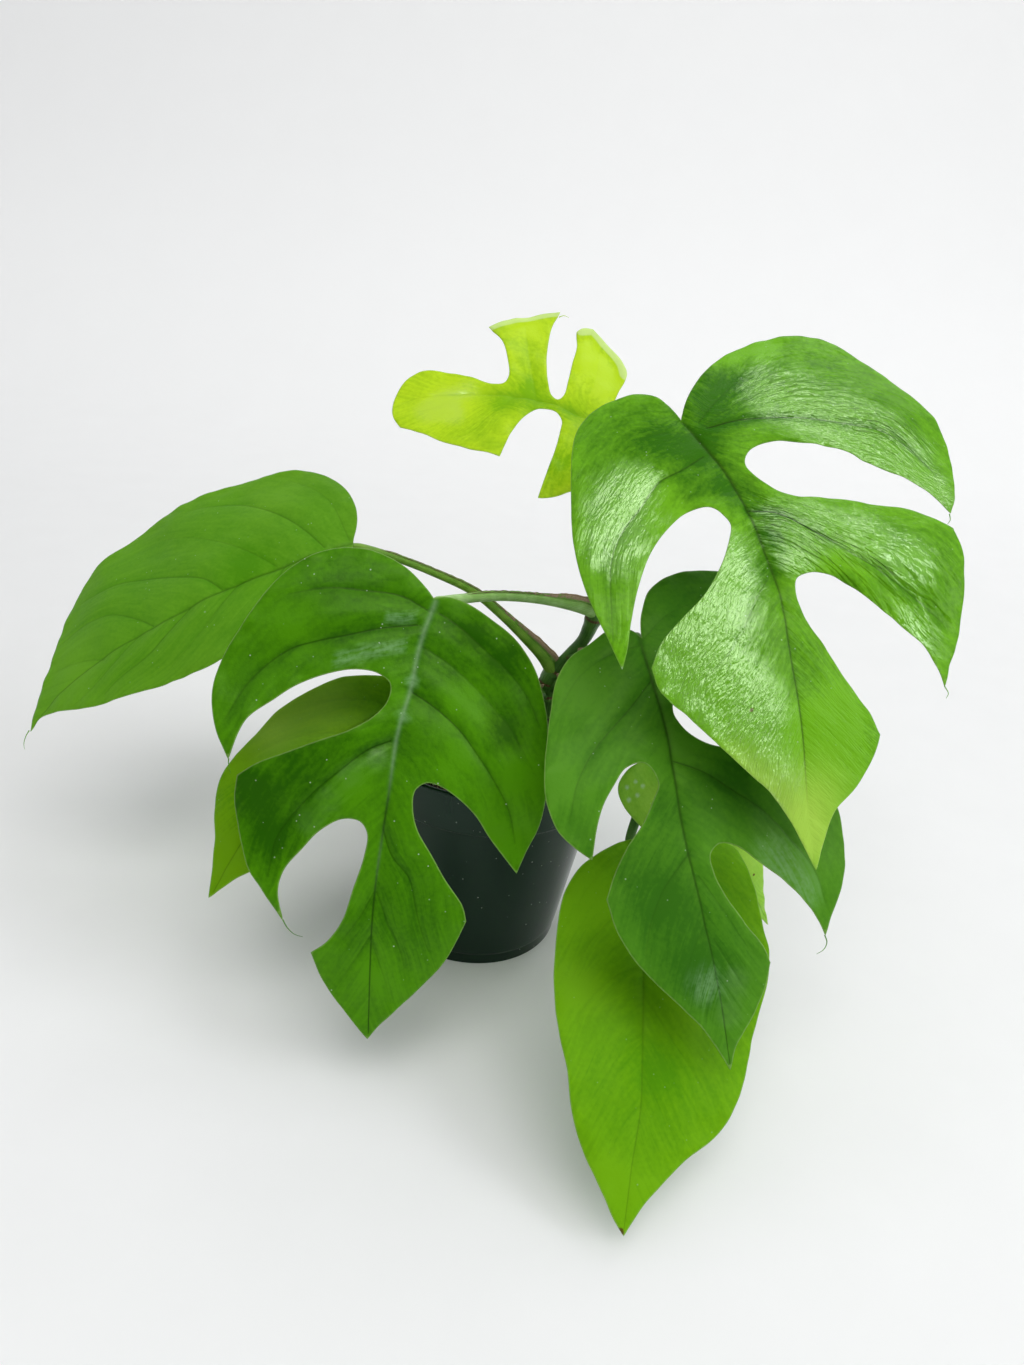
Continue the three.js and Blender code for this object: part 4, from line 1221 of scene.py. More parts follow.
def make_blade(name, leaf, seed, material):
    """One finished blade as an object, with what its finish reads stored on its points."""
    points, faces, facts, flat = blade_geometry(leaf, seed)
    for hook in leaf["hooks"]:
        more, more_faces, more_flat = hook_geometry(leaf, hook)
        start = len(points)
        points = np.vstack([points, more])
        faces += [tuple(i + start for i in face) for face in more_faces]
        flat = np.vstack([flat, more_flat])
        for key in facts:
            facts[key] = np.r_[facts[key], np.full(len(more), HOOK_FACTS.get(key, 0.0))]
    piece = new_object(name, points * MM, faces, material)
    mesh = piece.data
    for key, values in facts.items():
        stored = mesh.attributes.new(key, "FLOAT", "POINT")
        stored.data.foreach_set("value", values.astype(np.float32))
    corners = np.zeros(len(mesh.loops), int)
    mesh.loops.foreach_get("vertex_index", corners)
    plane = mesh.uv_layers.new(name="leaf")
    plane.data.foreach_set("uv", (flat[corners] / 100).astype(np.float32).ravel())
    return piece


# %% [markdown]
# ## The skin of a leaf
# A leaf's green is never one colour. Large soft clouds run from deep to fresh green, the fine veins add
# faint stripes along the flow, and the midrib has its own tint, on one leaf pale with dust and a painted
# sheen. Part of the colour is painted light and shade: a thin dark line over the midrib and the side veins
# and a broader darker band along the side veins are painted shade in their grooves, the margin has a
# painted highlight as a pale rim, the green is lighter where the table marks a shine, and some marks
# darken or lighten shaded and lit parts. The waxy gloss is uneven: a second, glossier skin with the same
# colour and relief lies over the first, most where the table marks a shine. On the wrinkled leaf small
# folds along the flow break the glints up. One recipe serves all leaves, and the table says how each
# differs.


# %% Leaf finish
GLOSS_TINT = (0.8, 1.0, 0.25)
GLAZE_TINT = (0.8, 1.0, 0.65)
GLAZE_IOR = 2.3
MARGIN_PAINTED_HIGHLIGHT = (0.36, 0.50, 0.16)
GOLD_GREEN_AND_PAINTED_LIGHT = (0.36, 0.60, 0.07)
FILM_AND_SHEEN_GREY = (0.24, 0.42, 0.22)
ROLLED_PALE = (0.60, 0.78, 0.28)
SPOT_BROWN = (0.09, 0.035, 0.01)
SPECK_PALE = (0.55, 0.66, 0.5)
UNDER_PALE = (0.20, 0.38, 0.12)
WRINKLED = 0.5


def leaf_finish(name, skin, length):
    """The upper and lower skin of one blade."""
    finish = Finish(name, Specular_IOR_Level=0.14, Specular_Tint=GLOSS_TINT)
    edge, rib, vein, flow, clear, rolled, under = (
        finish.attribute(key) for key in ("edge", "rib", "vein", "flow", "clear", "rolled", "under")
    )
    film_and_sheen, shine, creased, gold_and_painted_light, deep, fresh, spot, speck = (finish.attribute(key) for key in MARK_KINDS)
    plane = finish.leaf_plane()
    along, across, _ = finish.split(plane)
    reach = along / length
    comb = finish.join(flow, across * 0.42, 0)
    long_comb = finish.join(flow, across * 0.22, 0)
    broad = finish.cloud(plane, 24, 2, 0.5)
    mottle = finish.cloud(comb, 2.6, 3, 0.6)
    small = finish.cloud(plane, 1.5, 2)
    grain = finish.cloud(plane, 0.6, 2)
    uneven = finish.cloud(plane, 7, 2)
    streaks = finish.cloud(long_comb, 1.3, 2)

    # Fresh marks lighten and deep marks darken the green; on some leaves this is painted light and painted
    # shade.
    tone = 0.5 + (mottle - 0.5) * 1.1 + (broad - 0.5) * 0.5 + (small - 0.5) * 0.7 + (fresh - deep) * 0.6
    # Where a shine is marked the green is lighter too: a painted highlight.
    tone = tone + (1 - edge.between(0, 12)) * 0.25 + shine * skin["wrinkle"] * 0.35
    # A broader darker band along each side vein: painted shade of its crease.
    tone = tone - vein.bell(2.4) * clear * (0.35 * skin["vein"])
    colour = finish.mix(skin["deep"], skin["fresh"], tone)
    # A thin dark line over each side vein: painted shade in its groove.
    line = tuple(0.35 * c for c in skin["deep"])
    colour = finish.mix(colour, line, vein.bell(0.34) * clear * (0.75 * skin["vein"]))
    slim = 1.7 - reach * 1.3
    pale = reach.between(skin["rib_reach"] + 0.08, skin["rib_reach"] - 0.08)
    pale = pale + (reach - skin["rib_reach"] - 0.17).bell(0.05) * skin["rib_reach"]
    # Past its pale part, a thin dark line over the midrib: painted shade in its groove.
    colour = finish.mix(colour, line, (rib / slim).bell(0.5) * (1 - pale) * (0.9 * skin["vein"]))
    # The midrib's own tint; on the front-left leaf it is pale, partly dust and partly a painted sheen.
    ribbon = (rib / slim).bell(skin["rib_width"]) * (0.55 + small * 0.8)
    colour = finish.mix(colour, skin["rib"], ribbon * pale * 0.55)
    # Gold-green patches: yellowing on some leaves, and painted light on a part in shade on another.
    colour = finish.mix(colour, GOLD_GREEN_AND_PAINTED_LIGHT, gold_and_painted_light * 0.5)
    # A pale grey film, partly dust and partly a painted sheen.
    dust_and_sheen = (film_and_sheen + (mottle - 0.5) * 0.8).between(0.15, 1.05)
    dust_and_sheen = dust_and_sheen * (small * 0.4 + streaks * 0.8).between(0.35, 0.80)
    colour = finish.mix(colour, FILM_AND_SHEEN_GREY, dust_and_sheen * 0.4)
    # A pale rim on the margin: a painted highlight of the edge.
    colour = finish.mix(colour, MARGIN_PAINTED_HIGHLIGHT, (1 - edge.between(0.05, 0.40)) * skin["margin"])
    curled = rolled.between(ROLL_WIDTH * 1.15, ROLL_WIDTH * 0.85)
    colour = finish.mix(colour, ROLLED_PALE, curled * 0.8)
    colour = finish.mix(colour, SPOT_BROWN, spot.between(0.3, 0.6) * 0.9)
    dots = finish.cells(plane, 3.6).between(0.085, 0.05) * uneven.between(0.45, 0.6) * skin["dust"]
    colour = finish.mix(colour, SPECK_PALE, (speck.between(0.2, 1.1) + dots) * 0.7)
    colour = finish.mix(colour, finish.mix(colour, UNDER_PALE, 0.5), under.between(0.5, 0.9))

    roughness = skin["rough"] + (uneven - 0.5) * 0.2 + (grain - 0.5) * 0.1 + under * 0.2 + dust_and_sheen * 0.12
    bright = (shine + (mottle - 0.5) * 0.9).between(0.15, 0.9)
    quilt = 1 - finish.cloud(long_comb, 2.6, 2, 0.3).ridge()
    crinkle = finish.cloud(comb, 1.0, 2, 0.4)
    crumple = quilt * (0.15 + creased * 2.4) + crinkle * (0.15 + shine * 0.40)
    relief = small * 0.08 + grain * 0.03
    if skin["wrinkle"] > WRINKLED:
        relief = relief + crumple * skin["wrinkle"]
    finish.wear(relief, Base_Color=colour, Roughness=roughness)
    waxy = (skin["gloss"] + bright * (1 - skin["gloss"]) - deep * 0.3) * (uneven * 0.8 + 0.4)
    share = (1 - under) * waxy * skin["glaze"]
    return finish.glaze(share, IOR=GLAZE_IOR, Specular_Tint=GLAZE_TINT, Roughness=skin["sleek"])


for number, (name, leaf) in enumerate(LEAVES.items()):
    material = leaf_finish("skin_" + name, leaf["skin"], leaf_length(leaf))
    piece = make_blade("leaf_" + name, leaf, number + 1, material)
    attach(piece, "root")
    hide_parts("blade_" + name)
    "young_leaf" if name == "young_top" else "leaf"
    print(name, "faces:", len(piece.data.polygons))

# %% [markdown]
# ## A cross-section carried along a path
# Stem, stalks and their dry sheaths are one idea: a cross-section carried along a bent line, thicker
# here and thinner there. Geometry Nodes does this with Curve to Mesh. The path comes in as a chain of
# points that hold their own thickness, the cross-section as a second small object, and the result is
# kept as a plain mesh. Turning the section so that its top stays up keeps the groove of a stalk on its
# upper side, while the upright stem needs the rule of least twist.


# %% Node recipes
def keep_result(piece):
    """Makes what a piece's modifiers show its own mesh."""
    seen = piece.evaluated_get(bpy.context.evaluated_depsgraph_get())
    made = bpy.data.meshes.new_from_object(seen)
    piece.modifiers.clear()
    piece.data = made
    return piece


class Recipe:
    """A Geometry Nodes tree with named inputs, built step by step."""

    def __init__(self, name, **inputs):
        self.tree = bpy.data.node_groups.new(name, "GeometryNodeTree")
        face = self.tree.interface
        face.new_socket("Geometry", in_out="INPUT", socket_type="NodeSocketGeometry")
        self.keys = {}
        for label, kind in {**inputs, "Material": "Material"}.items():
            made = face.new_socket(label, in_out="INPUT", socket_type="NodeSocket" + kind)
            self.keys[label] = made.identifier
        face.new_socket("Geometry", in_out="OUTPUT", socket_type="NodeSocketGeometry")
        self.start = self.tree.nodes.new("NodeGroupInput")

    def given(self, label):
        return self.start.outputs[label]

    def step(self, kind, settings, inputs, output=0):
        made = self.tree.nodes.new(kind)
        for key, value in settings.items():
            setattr(made, key, value)
        for key, value in inputs.items():
            if isinstance(value, bpy.types.NodeSocket):
                self.tree.links.new(value, made.inputs[key])
            else:
                made.inputs[key].default_value = value
        return made.outputs[output]

    def end(self, geometry):
        """Makes instances real, gives the material and closes the tree."""
        real = self.step("GeometryNodeRealizeInstances", {}, {0: geometry})
        inputs = {"Geometry": real, "Material": self.given("Material")}
        dressed = self.step("GeometryNodeSetMaterial", {}, inputs)
        self.tree.links.new(dressed, self.tree.nodes.new("NodeGroupOutput").inputs[0])
        return self

    def run(self, piece, **values):
        """Runs the tree on an object and keeps the result as its mesh."""
        modifier = piece.modifiers.new(self.tree.name, "NODES")
        modifier.node_group = self.tree
        for label, value in values.items():
            modifier[self.keys[label]] = value
        return keep_result(piece)


def sweep_recipe(name, mode):
    """Carries a cross-section along a chain of points, scaled by their thickness."""
    recipe = Recipe(name, Section="Object")
    path = recipe.step("GeometryNodeMeshToCurve", {}, {0: recipe.given("Geometry")})
    path = recipe.step("GeometryNodeSetCurveNormal", {"mode": mode}, {"Curve": path})
    travelled = recipe.step("GeometryNodeSplineParameter", {}, {}, "Factor")
    stored = {"Geometry": path, "Name": "along", "Value": travelled}
    path = recipe.step("GeometryNodeStoreNamedAttribute", {"data_type": "FLOAT"}, stored)
    section = recipe.step("GeometryNodeObjectInfo", {}, {0: recipe.given("Section")}, "Geometry")
    section = recipe.step("GeometryNodeMeshToCurve", {}, {0: section})
    thickness = recipe.step("GeometryNodeInputNamedAttribute", {"data_type": "FLOAT"}, {"Name": "thickness"})
    inputs = {"Curve": path, "Profile Curve": section, "Scale": thickness, "Fill Caps": True}
    body = recipe.step("GeometryNodeCurveToMesh", {}, inputs)
    return recipe.end(recipe.step("GeometryNodeSetShadeSmooth", {}, {"Geometry": body}))


SWEEP_TOP_UP = sweep_recipe("sweep_top_up", "Z_UP")
SWEEP_LEAST_TWIST = sweep_recipe("sweep_least_twist", "MINIMUM_TWIST")


def chain(name, loops, closed, **facts):
    """An object of point chains, with named numbers stored on the points."""
    points = [tuple(point) for loop in loops for point in loop]
    edges = []
    for loop in loops:
        start = len(edges) + (0 if closed else len(edges) and 1)
        last = len(loop) if closed else len(loop) - 1
        edges += [(start + i, start + (i + 1) % len(loop)) for i in range(last)]
    mesh = bpy.data.meshes.new(name)
    mesh.from_pydata(points, edges, [])
    for key, values in facts.items():
        stored = mesh.attributes.new(key, "FLOAT", "POINT")
        stored.data.foreach_set("value", np.array(values, np.float32))
    made = bpy.data.objects.new(name, mesh)
    bpy.context.scene.collection.objects.link(made)
    return made


def face_outwards(piece):
    """Turns all faces of a closed mesh to the outside."""
    work = bmesh.new()
    work.from_mesh(piece.data)
    bmesh.ops.recalc_face_normals(work, faces=work.faces)
    work.to_mesh(piece.data)
    work.free()
    return piece


def swept(name, line, recipe, section, material, **facts):
    """A piece from a line of (x, y, z, radius) in millimetres and a cross-section of unit size."""
    path = chain(name, [line[:, :3] * MM], False, thickness=line[:, 3] * MM, **facts)
    return face_outwards(recipe.run(path, Section=section, Material=material))


# %% Cross-sections
LIMB_FACETS = 20


def ring_section(name, groove):
    """A round section with a groove on its upper side. Y points down in a section."""
    angles = np.linspace(0, 2 * math.pi, LIMB_FACETS, endpoint=False)
    from_top = np.abs((angles + math.pi) % (2 * math.pi) - math.pi)
    radius = 1 - groove * np.exp(-((from_top / 0.5) ** 2))
    ring = np.stack([radius * np.sin(angles), -radius * np.cos(angles), 0 * angles], axis=1)
    return chain(name, [ring], True, top=1 - from_top / math.pi)


def wing_section(name, spread, height, thickness):
    """Two thin wings that stand up left and right of the groove."""
    loops, rise = [], []
    for side in (-1, 1):
        foot = np.array([side * 0.30, -0.62])
        lean = np.array([side * math.sin(spread), -math.cos(spread)])
        flank = np.array([lean[1], -lean[0]]) * thickness
        steps = np.linspace(0, 1, 6)
        curl = np.outer(steps**2 * 0.22 * height, (-side, 0))
        middle = foot + np.outer(steps * height, lean) + curl
        taper = (1 - 0.6 * steps)[:, None]
        loop = np.vstack([middle + flank * taper, (middle - flank * taper)[::-1]])
        loops.append(np.hstack([loop, np.zeros((12, 1))]))
        rise += [*steps, *steps[::-1]]
    return chain(name, loops, True, rise=rise)


ROUND = ring_section("round_section", 0)
GROOVED = ring_section("grooved_section", 0.16)
WINGS = wing_section("wing_section", 0.55, 0.55, 0.07)
print("section points:", len(GROOVED.data.vertices), len(WINGS.data.vertices))

# %% [markdown]
# ## Stem and stalks
# The stem climbs in short steps. It thickens at each node, where a stalk leaves it and a scar rings it.
# Each stalk is flared where it clasps the stem, carries a sheath on its upper side that is drying to
# brown paper, and ends in a smooth, paler knee that turns the blade to the light. The knee runs on into
# the midrib, so that stalk and blade grow out of each other.

# %% Limb finishes
SCAR_BROWN = (0.10, 0.055, 0.02)


def limb_finish(name, deep, fresh):
    """Green skin with faint streaks along the limb, pale flecks, and brown rings at the scars."""
    finish = Finish(name, Specular_IOR_Level=0.35)
    along = finish.attribute("along")
    top = finish.attribute("top")
    ring = finish.attribute("scar")
    place = finish.place()
    blotch = finish.cloud(place, 5, 3)
    fleck = finish.cells(place, 1.1).between(0.16, 0.08)
    streak = (top * 70 + finish.cloud(place, 3, 2) * 6).wave() * 0.5 + 0.5
    colour = finish.mix(deep, fresh, blotch.between(0.35, 0.7) * 0.6 + streak * 0.22)
    colour = finish.mix(colour, fresh, along.between(0.7, 0.98) * 0.7)
    colour = finish.mix(colour, tuple(0.6 * f + 0.25 for f in fresh), fleck * 0.25)
    fine = finish.cloud(place, 0.6, 3)
    colour = finish.mix(colour, SCAR_BROWN, (ring + (fine - 0.5) * 0.5).between(0.35, 0.8))
    roughness = 0.36 + blotch * 0.12 + ring * 0.35
    relief = streak * 0.04 + fine * (0.04 + 0.25 * ring)
    return finish.wear(relief, Base_Color=colour, Roughness=roughness)


def dry_sheath_finish():
    """Green sheath with a brown edge, dried to tan paper near the stem."""
    finish = Finish("dry_sheath", Specular_IOR_Level=0.3)
    rise = finish.attribute("rise")
    along = finish.attribute("along")
    place = finish.place()
    ragged = finish.cloud(place, 2.5, 4)
    line = finish.cloud(place, 0.7, 2)
    green = finish.mix((0.17, 0.36, 0.05), (0.34, 0.56, 0.15), ragged)
    brown = finish.mix((0.055, 0.022, 0.022), (0.19, 0.08, 0.055), line)
    colour = finish.mix(green, brown, (rise + (ragged - 0.5) * 1.1).between(0.68, 0.9))
    paper = (0.40 - along + (ragged - 0.5) * 0.9).between(0.0, 0.14) * rise.between(0.1, 0.5)
    colour = finish.mix(colour, finish.mix((0.30, 0.17, 0.11), (0.58, 0.42, 0.31), line), paper)
    return finish.wear(line * 0.12 + ragged * 0.1, Base_Color=colour, Roughness=0.75 - rise * 0.1)


# %% Stem
STEM = [
    (22, 31, 65.5, 4.2), (22, 31, 70, 4.6), (22, 31, 90, 4.6), (22.5, 30, 99, 4.3), (23.5, 29, 107, 4.4),
    (27, 27.5, 114, 2.7), (31, 25.5, 121, 2.5), (35, 23.5, 128, 2.7), (37, 21.5, 135.5, 3.2),
    (38.3, 19.5, 143, 3.7), (39.5, 17, 151, 3.1), (43, 13, 162, 2.7), (46, 10, 172, 2.9),
    (48, 8, 179, 2.0), (49.5, 6.5, 184.5, 1.1), (50.5, 5.2, 189, 0.3),
]
NODES_AT = [96.5, 103, 109.5, 138.5, 146.5, 168, 174]


def stem_line():
    """The stem's path with uneven skin and a collar at every node."""
    line = smooth_line(STEM, 0.7)
    height = line[:, 2]
    scar = np.zeros(len(line))
    for node_height in NODES_AT:
        away = height - node_height
        line[:, 3] *= 1 + 0.07 * np.exp(-((away / 1.3) ** 2)) - 0.05 * np.exp(-(((away - 1.9) / 0.7) ** 2))
        scar = np.maximum(scar, np.exp(-(((away - 1.6) / 0.75) ** 2)))
    line[:, 3] *= 1 + 0.03 * np.array([noise.noise(Vector((0, 0, z / 3))) for z in height])
    return line, scar


line, scar = stem_line()
stem_skin = limb_finish("stem_skin", (0.032, 0.11, 0.014), (0.11, 0.27, 0.04))
stem = swept("main_stem", line, SWEEP_LEAST_TWIST, ROUND, stem_skin, scar=scar)
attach(stem, "root")
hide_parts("stem")
print("stem faces:", len(stem.data.polygons))

# %% Stalks and sheaths
STALK_GREENS = {
    "far_left": ((0.11, 0.28, 0.015), (0.24, 0.44, 0.05)),
    "front_left": ((0.22, 0.44, 0.08), (0.40, 0.64, 0.22)),
    "low_left": ((0.05, 0.15, 0.02), (0.12, 0.26, 0.04)),
    "young_top": ((0.16, 0.32, 0.02), (0.30, 0.48, 0.04)),
    "upper_right": ((0.06, 0.18, 0.02), (0.13, 0.28, 0.05)),
    "front_right": ((0.05, 0.15, 0.02), (0.11, 0.24, 0.05)),
    "low_right": ((0.04, 0.13, 0.02), (0.09, 0.21, 0.03)),
    "back_right": ((0.05, 0.15, 0.02), (0.12, 0.25, 0.04)),
}
SHEATH_SHARE = {"far_left": 0.80, "front_left": 0.72, "young_top": 0.35, "upper_right": 0.5}
USUAL_SHEATH_SHARE = 0.6


def stalk_line(leaf):
    """The stalk's path, on under the blade until it has sunk into the midrib."""
    rib = smooth_line(leaf["midrib"], 1)
    points = list(leaf["stalk"])
    for reach, radius, sunk in ((0, 1.7, 1.2), (5, 1.3, 2.0), (11, 1.0, 2.3), (18, 0.6, 2.3)):
        x, y, z = on_blade(leaf, rib[reach], -radius - sunk)[0]
        points.append((x, y, z, radius))
    return smooth_line(points, 0.8)


def sheath_line(line, share, seed):
    """The part of a stalk that its sheath follows: high and loose at the foot, low towards the knee."""
    count = int(share * len(line))
    part = line[:count].copy()
    shares = np.linspace(0, 1, count)
    ragged = np.array([noise.noise(Vector((x / 2.2, y / 2.2, seed))) for x, y in part[:, :2]])
    height = np.interp(shares, [0, 0.05, 0.22, 0.34, 0.9, 1], [0.9, 1.4, 1.4, 1.1, 1.0, 0.6])
    part[:, 3] *= height * (1 + 0.10 * ragged)
    return part


sheath_skin = dry_sheath_finish()
for number, (name, leaf) in enumerate(LEAVES.items()):
    line = stalk_line(leaf)
    skin = limb_finish("stalk_skin_" + name, *STALK_GREENS[name])
    scar = 0.7 * np.exp(-((np.arange(len(line)) / 3.5) ** 2))
    stalk = swept("stalk_of_" + name, line, SWEEP_TOP_UP, GROOVED, skin, scar=scar)
    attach(stalk, "root")
    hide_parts("stalk_" + name)
    part = sheath_line(line, SHEATH_SHARE.get(name, USUAL_SHEATH_SHARE), number)
    sheath = swept("sheath_of_" + name, part, SWEEP_TOP_UP, WINGS, sheath_skin)
    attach(sheath, "root")
print("stalk faces:", len(stalk.data.polygons), "sheath faces:", len(sheath.data.polygons))

# %% [markdown]
# ## The nursery pot
# The pot is a thin-walled injection moulding: a tapering wall, a stepped lip that lets pots be stacked
# and picked up, a recessed foot and six drain holes. It is turned from a profile with small roundings,
# since the light on plastic shows every edge. The wall also wavers by a tenth of a millimetre, as thin
# plastic does, which keeps the reflections from looking drawn with a ruler.

# %% Pot
POT_RIM_RADIUS = 50.8
POT_HEIGHT = 91.5
POT_WALL = 1.5
LIP_BOTTOM = 73.2
LIP_FOOT_RADIUS = 48.9
LIP_STEP = 0.7
FOOT_HEIGHT = 5.2
FOOT_RADIUS = 37.9
BASE_RADIUS = 37.0
DRAIN_HOLES = 6
DRAIN_RADIUS = 4.5
DRAIN_CIRCLE = 26
DRILL_DEPTH = 6
POT_SIDES = 192


def rounded(profile, radius, steps=5):
    """A profile with each inner corner rounded as a short bend."""
    profile = [np.array(point, float) for point in profile]
    made = [profile[0]]
    for before, corner, after in zip(profile, profile[1:], profile[2:]):
        into, away = before - corner, after - corner
        reach = min(radius, 0.4 * np.linalg.norm(into), 0.4 * np.linalg.norm(away))
        start = corner + into / np.linalg.norm(into) * reach
        end = corner + away / np.linalg.norm(away) * reach
        for t in np.linspace(0, 1, steps):
            made.append((1 - t) ** 2 * start + 2 * t * (1 - t) * corner + t**2 * end)
    return made + [profile[-1]]


def filled_in(profile, step):
    """More points on the long straight runs of a profile."""
    made = [profile[0]]
    for a, b in zip(profile, profile[1:]):
        parts = max(1, int(np.linalg.norm(np.array(b) - np.array(a)) / step))
        made += [np.array(a) + (np.array(b) - np.array(a)) * k / parts for k in range(1, parts + 1)]
    return made


def turned(name, profile, sides, material, shift=None):
    """A closed body turned round Z. The profile runs from the axis to the axis, [radius, height]."""
    rings = np.array(profile[1:-1])
    angles = np.linspace(0, 2 * math.pi, sides, endpoint=False)
    x = np.outer(rings[:, 0], np.cos(angles)).ravel()
    y = np.outer(rings[:, 0], np.sin(angles)).ravel()
    z = np.repeat(rings[:, 1], sides)
    points = np.stack([x, y, z], axis=1)
    points = np.vstack([points, (0, 0, profile[0][1]), (0, 0, profile[-1][1])])
    if shift is not None:
        points = shift(points)
    faces = []
    for ring in range(len(rings) - 1):
        low, high = ring * sides, (ring + 1) * sides
        faces += [(low + k, low + (k + 1) % sides, high + (k + 1) % sides, high + k) for k in range(sides)]
    first, last, end = len(points) - 2, len(points) - 1, (len(rings) - 1) * sides
    faces += [(first, (k + 1) % sides, k) for k in range(sides)]
    faces += [(last, end + k, end + (k + 1) % sides) for k in range(sides)]
    return new_object(name, points * MM, faces, material)


def pot_waver(points):
    """Pushes the wall in and out a little, never past the rim's own radius."""
    moved = points.copy()
    for i, (x, y, z) in enumerate(points):
        if math.hypot(x, y) > 30:
            push = 0.10 * noise.noise(Vector((x / 26, y / 26, z / 40))) - 0.05
            moved[i, :2] *= 1 + push / math.hypot(x, y)
    return moved


def pot_finish():
    """Dark green-black plastic with dry water marks, fine scratches and pale specks."""
    finish = Finish("pot_plastic", Specular_IOR_Level=0.30, Specular_Tint=(0.65, 1.0, 0.80))
    place = finish.place()
    marks = finish.cloud(finish.place(stretch=(1, 1, 0.3)), 9, 4, 0.6)
    scratch = finish.cloud(finish.place(stretch=(1, 1, 0.08)), 0.8, 2)
    fine = finish.cloud(place, 0.35, 2)
    speck = finish.cells(place, 4.2).between(0.085, 0.055)
    colour = finish.mix((0.002, 0.011, 0.004), (0.005, 0.019, 0.009), marks)
    colour = finish.mix(colour, (0.32, 0.34, 0.31), speck * 0.8)
    roughness = 0.10 + marks.between(0.4, 0.75) * 0.10 + scratch * 0.04 + speck * 0.4
    relief = fine * 0.006 + scratch * 0.006 + speck * 0.05
    return finish.wear(relief, Base_Color=colour, Roughness=roughness)


POT_PROFILE = [
    (0, 0), (BASE_RADIUS - 3, 0), (BASE_RADIUS - 2.4, 0.0), (BASE_RADIUS, 0),
    (FOOT_RADIUS - 0.6, FOOT_HEIGHT), (FOOT_RADIUS, FOOT_HEIGHT + 0.6),
    (LIP_FOOT_RADIUS - LIP_STEP, LIP_BOTTOM - 0.5), (LIP_FOOT_RADIUS, LIP_BOTTOM),
    (POT_RIM_RADIUS - 0.05, POT_HEIGHT - 0.9), (POT_RIM_RADIUS - 0.35, POT_HEIGHT),
    (POT_RIM_RADIUS - POT_WALL + 0.15, POT_HEIGHT),
    (LIP_FOOT_RADIUS - LIP_STEP - POT_WALL, LIP_BOTTOM),
    (BASE_RADIUS - POT_WALL + 0.2, POT_WALL + 0.6), (BASE_RADIUS - POT_WALL - 1, POT_WALL), (0, POT_WALL),
]
pot_skin = pot_finish()
pot_line = filled_in(rounded(POT_PROFILE, 0.5), 2.5)
pot = turned("nursery_pot", pot_line, POT_SIDES, pot_skin, pot_waver)
drills = bmesh.new()
for i in range(DRAIN_HOLES):
    angle = 2 * math.pi * (i + 0.5) / DRAIN_HOLES
    spot = Vector((DRAIN_CIRCLE * math.cos(angle), DRAIN_CIRCLE * math.sin(angle), 0.5)) * MM
    size = DRAIN_RADIUS * MM
    inputs = {"cap_ends": True, "segments": 32, "radius1": size, "radius2": size, "depth": DRILL_DEPTH * MM}
    bmesh.ops.create_cone(drills, matrix=Matrix.Translation(spot), **inputs)
drill_mesh = bpy.data.meshes.new("drills")
drills.to_mesh(drill_mesh)
drills.free()
drill = bpy.data.objects.new("drills", drill_mesh)
bpy.context.scene.collection.objects.link(drill)
cut = pot.modifiers.new("holes", "BOOLEAN")
cut.object = drill
cut.operation = "DIFFERENCE"
keep_result(pot)
bpy.data.objects.remove(drill)
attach(pot, "root")
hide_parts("pot")
print("pot faces:", len(pot.data.polygons))

# %% [markdown]
# ## The potting mix
# An airy mix for climbers: fine dark soil with bark chips, fibres and white perlite. The bed is one
# turned body whose top is roughened by noise of three sizes. The grains on it are scattered by a node
# recipe, which picks among a few lumps of different shape, keeps a distance between them and turns each
# one its own way. Scattering beats placing them one by one, for no two grains line up.

# %% Mix bed
MIX_LEVEL = 85.5
MIX_MOUND = 2.5
STEM_FOOT = Vector((22, 31))


def mix_height(x, y):
    """Height of the mix at a place, in millimetres."""
    away = math.hypot(x, y)
    rise = MIX_MOUND * (0.5 + 0.5 * math.cos(math.pi * min(1, away / 46)))
    to_stem = (Vector((x, y)) - STEM_FOOT).length
    heap = 1.6 * math.exp(-((to_stem / 9) ** 2))
    spot = Vector((x, y, 0))
    rough = 1.1 * noise.noise(spot / 13) + 0.7 * noise.noise(spot / 4.5) + 0.45 * noise.noise(spot / 1.7)
    return MIX_LEVEL + rise + heap + rough - 0.6


def mix_surface(points):
    """Lays the top of the bed on the mix height."""
    moved = points.copy()
    for i, (x, y, z) in enumerate(points):
        if z > MIX_LEVEL - 1.2:
            moved[i, 2] = mix_height(x, y) - (1.2 if z < MIX_LEVEL - 0.5 else 0)
    return moved


def mix_finish():
    """Damp dark soil with crumbs of lighter brown."""
    finish = Finish("potting_mix", Specular_IOR_Level=0.25)
    place = finish.place()
    lumps = finish.cloud(place, 2.2, 4)
    grit = finish.cells(place, 0.9)
    colour = finish.mix((0.012, 0.008, 0.006), (0.055, 0.034, 0.021), lumps.between(0.4, 0.75))
    colour = finish.mix(colour, (0.15, 0.10, 0.065), grit.between(0.14, 0.06) * 0.7)
    return finish.wear(lumps * 0.5 - grit * 0.3, Base_Color=colour, Roughness=0.92 - lumps * 0.15)


INNER = POT_WALL + 0.25
mix_profile = [
    (0, INNER), (BASE_RADIUS - INNER - 1, INNER),
    (LIP_FOOT_RADIUS - LIP_STEP - INNER, LIP_BOTTOM), (48.0, MIX_LEVEL - 1), (47.6, MIX_LEVEL),
]
mix_profile += [(radius, MIX_LEVEL) for radius in np.arange(46.6, 0.9, -1.0)] + [(0, MIX_LEVEL)]
bed = turned("potting_mix_bed", mix_profile, 240, mix_finish(), mix_surface)
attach(bed, "root")
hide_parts("potting_mix")
print("bed faces:", len(bed.data.polygons))

# %% Grains and chips
GRAIN_KINDS = 5
PATCH_STEP = 2.0


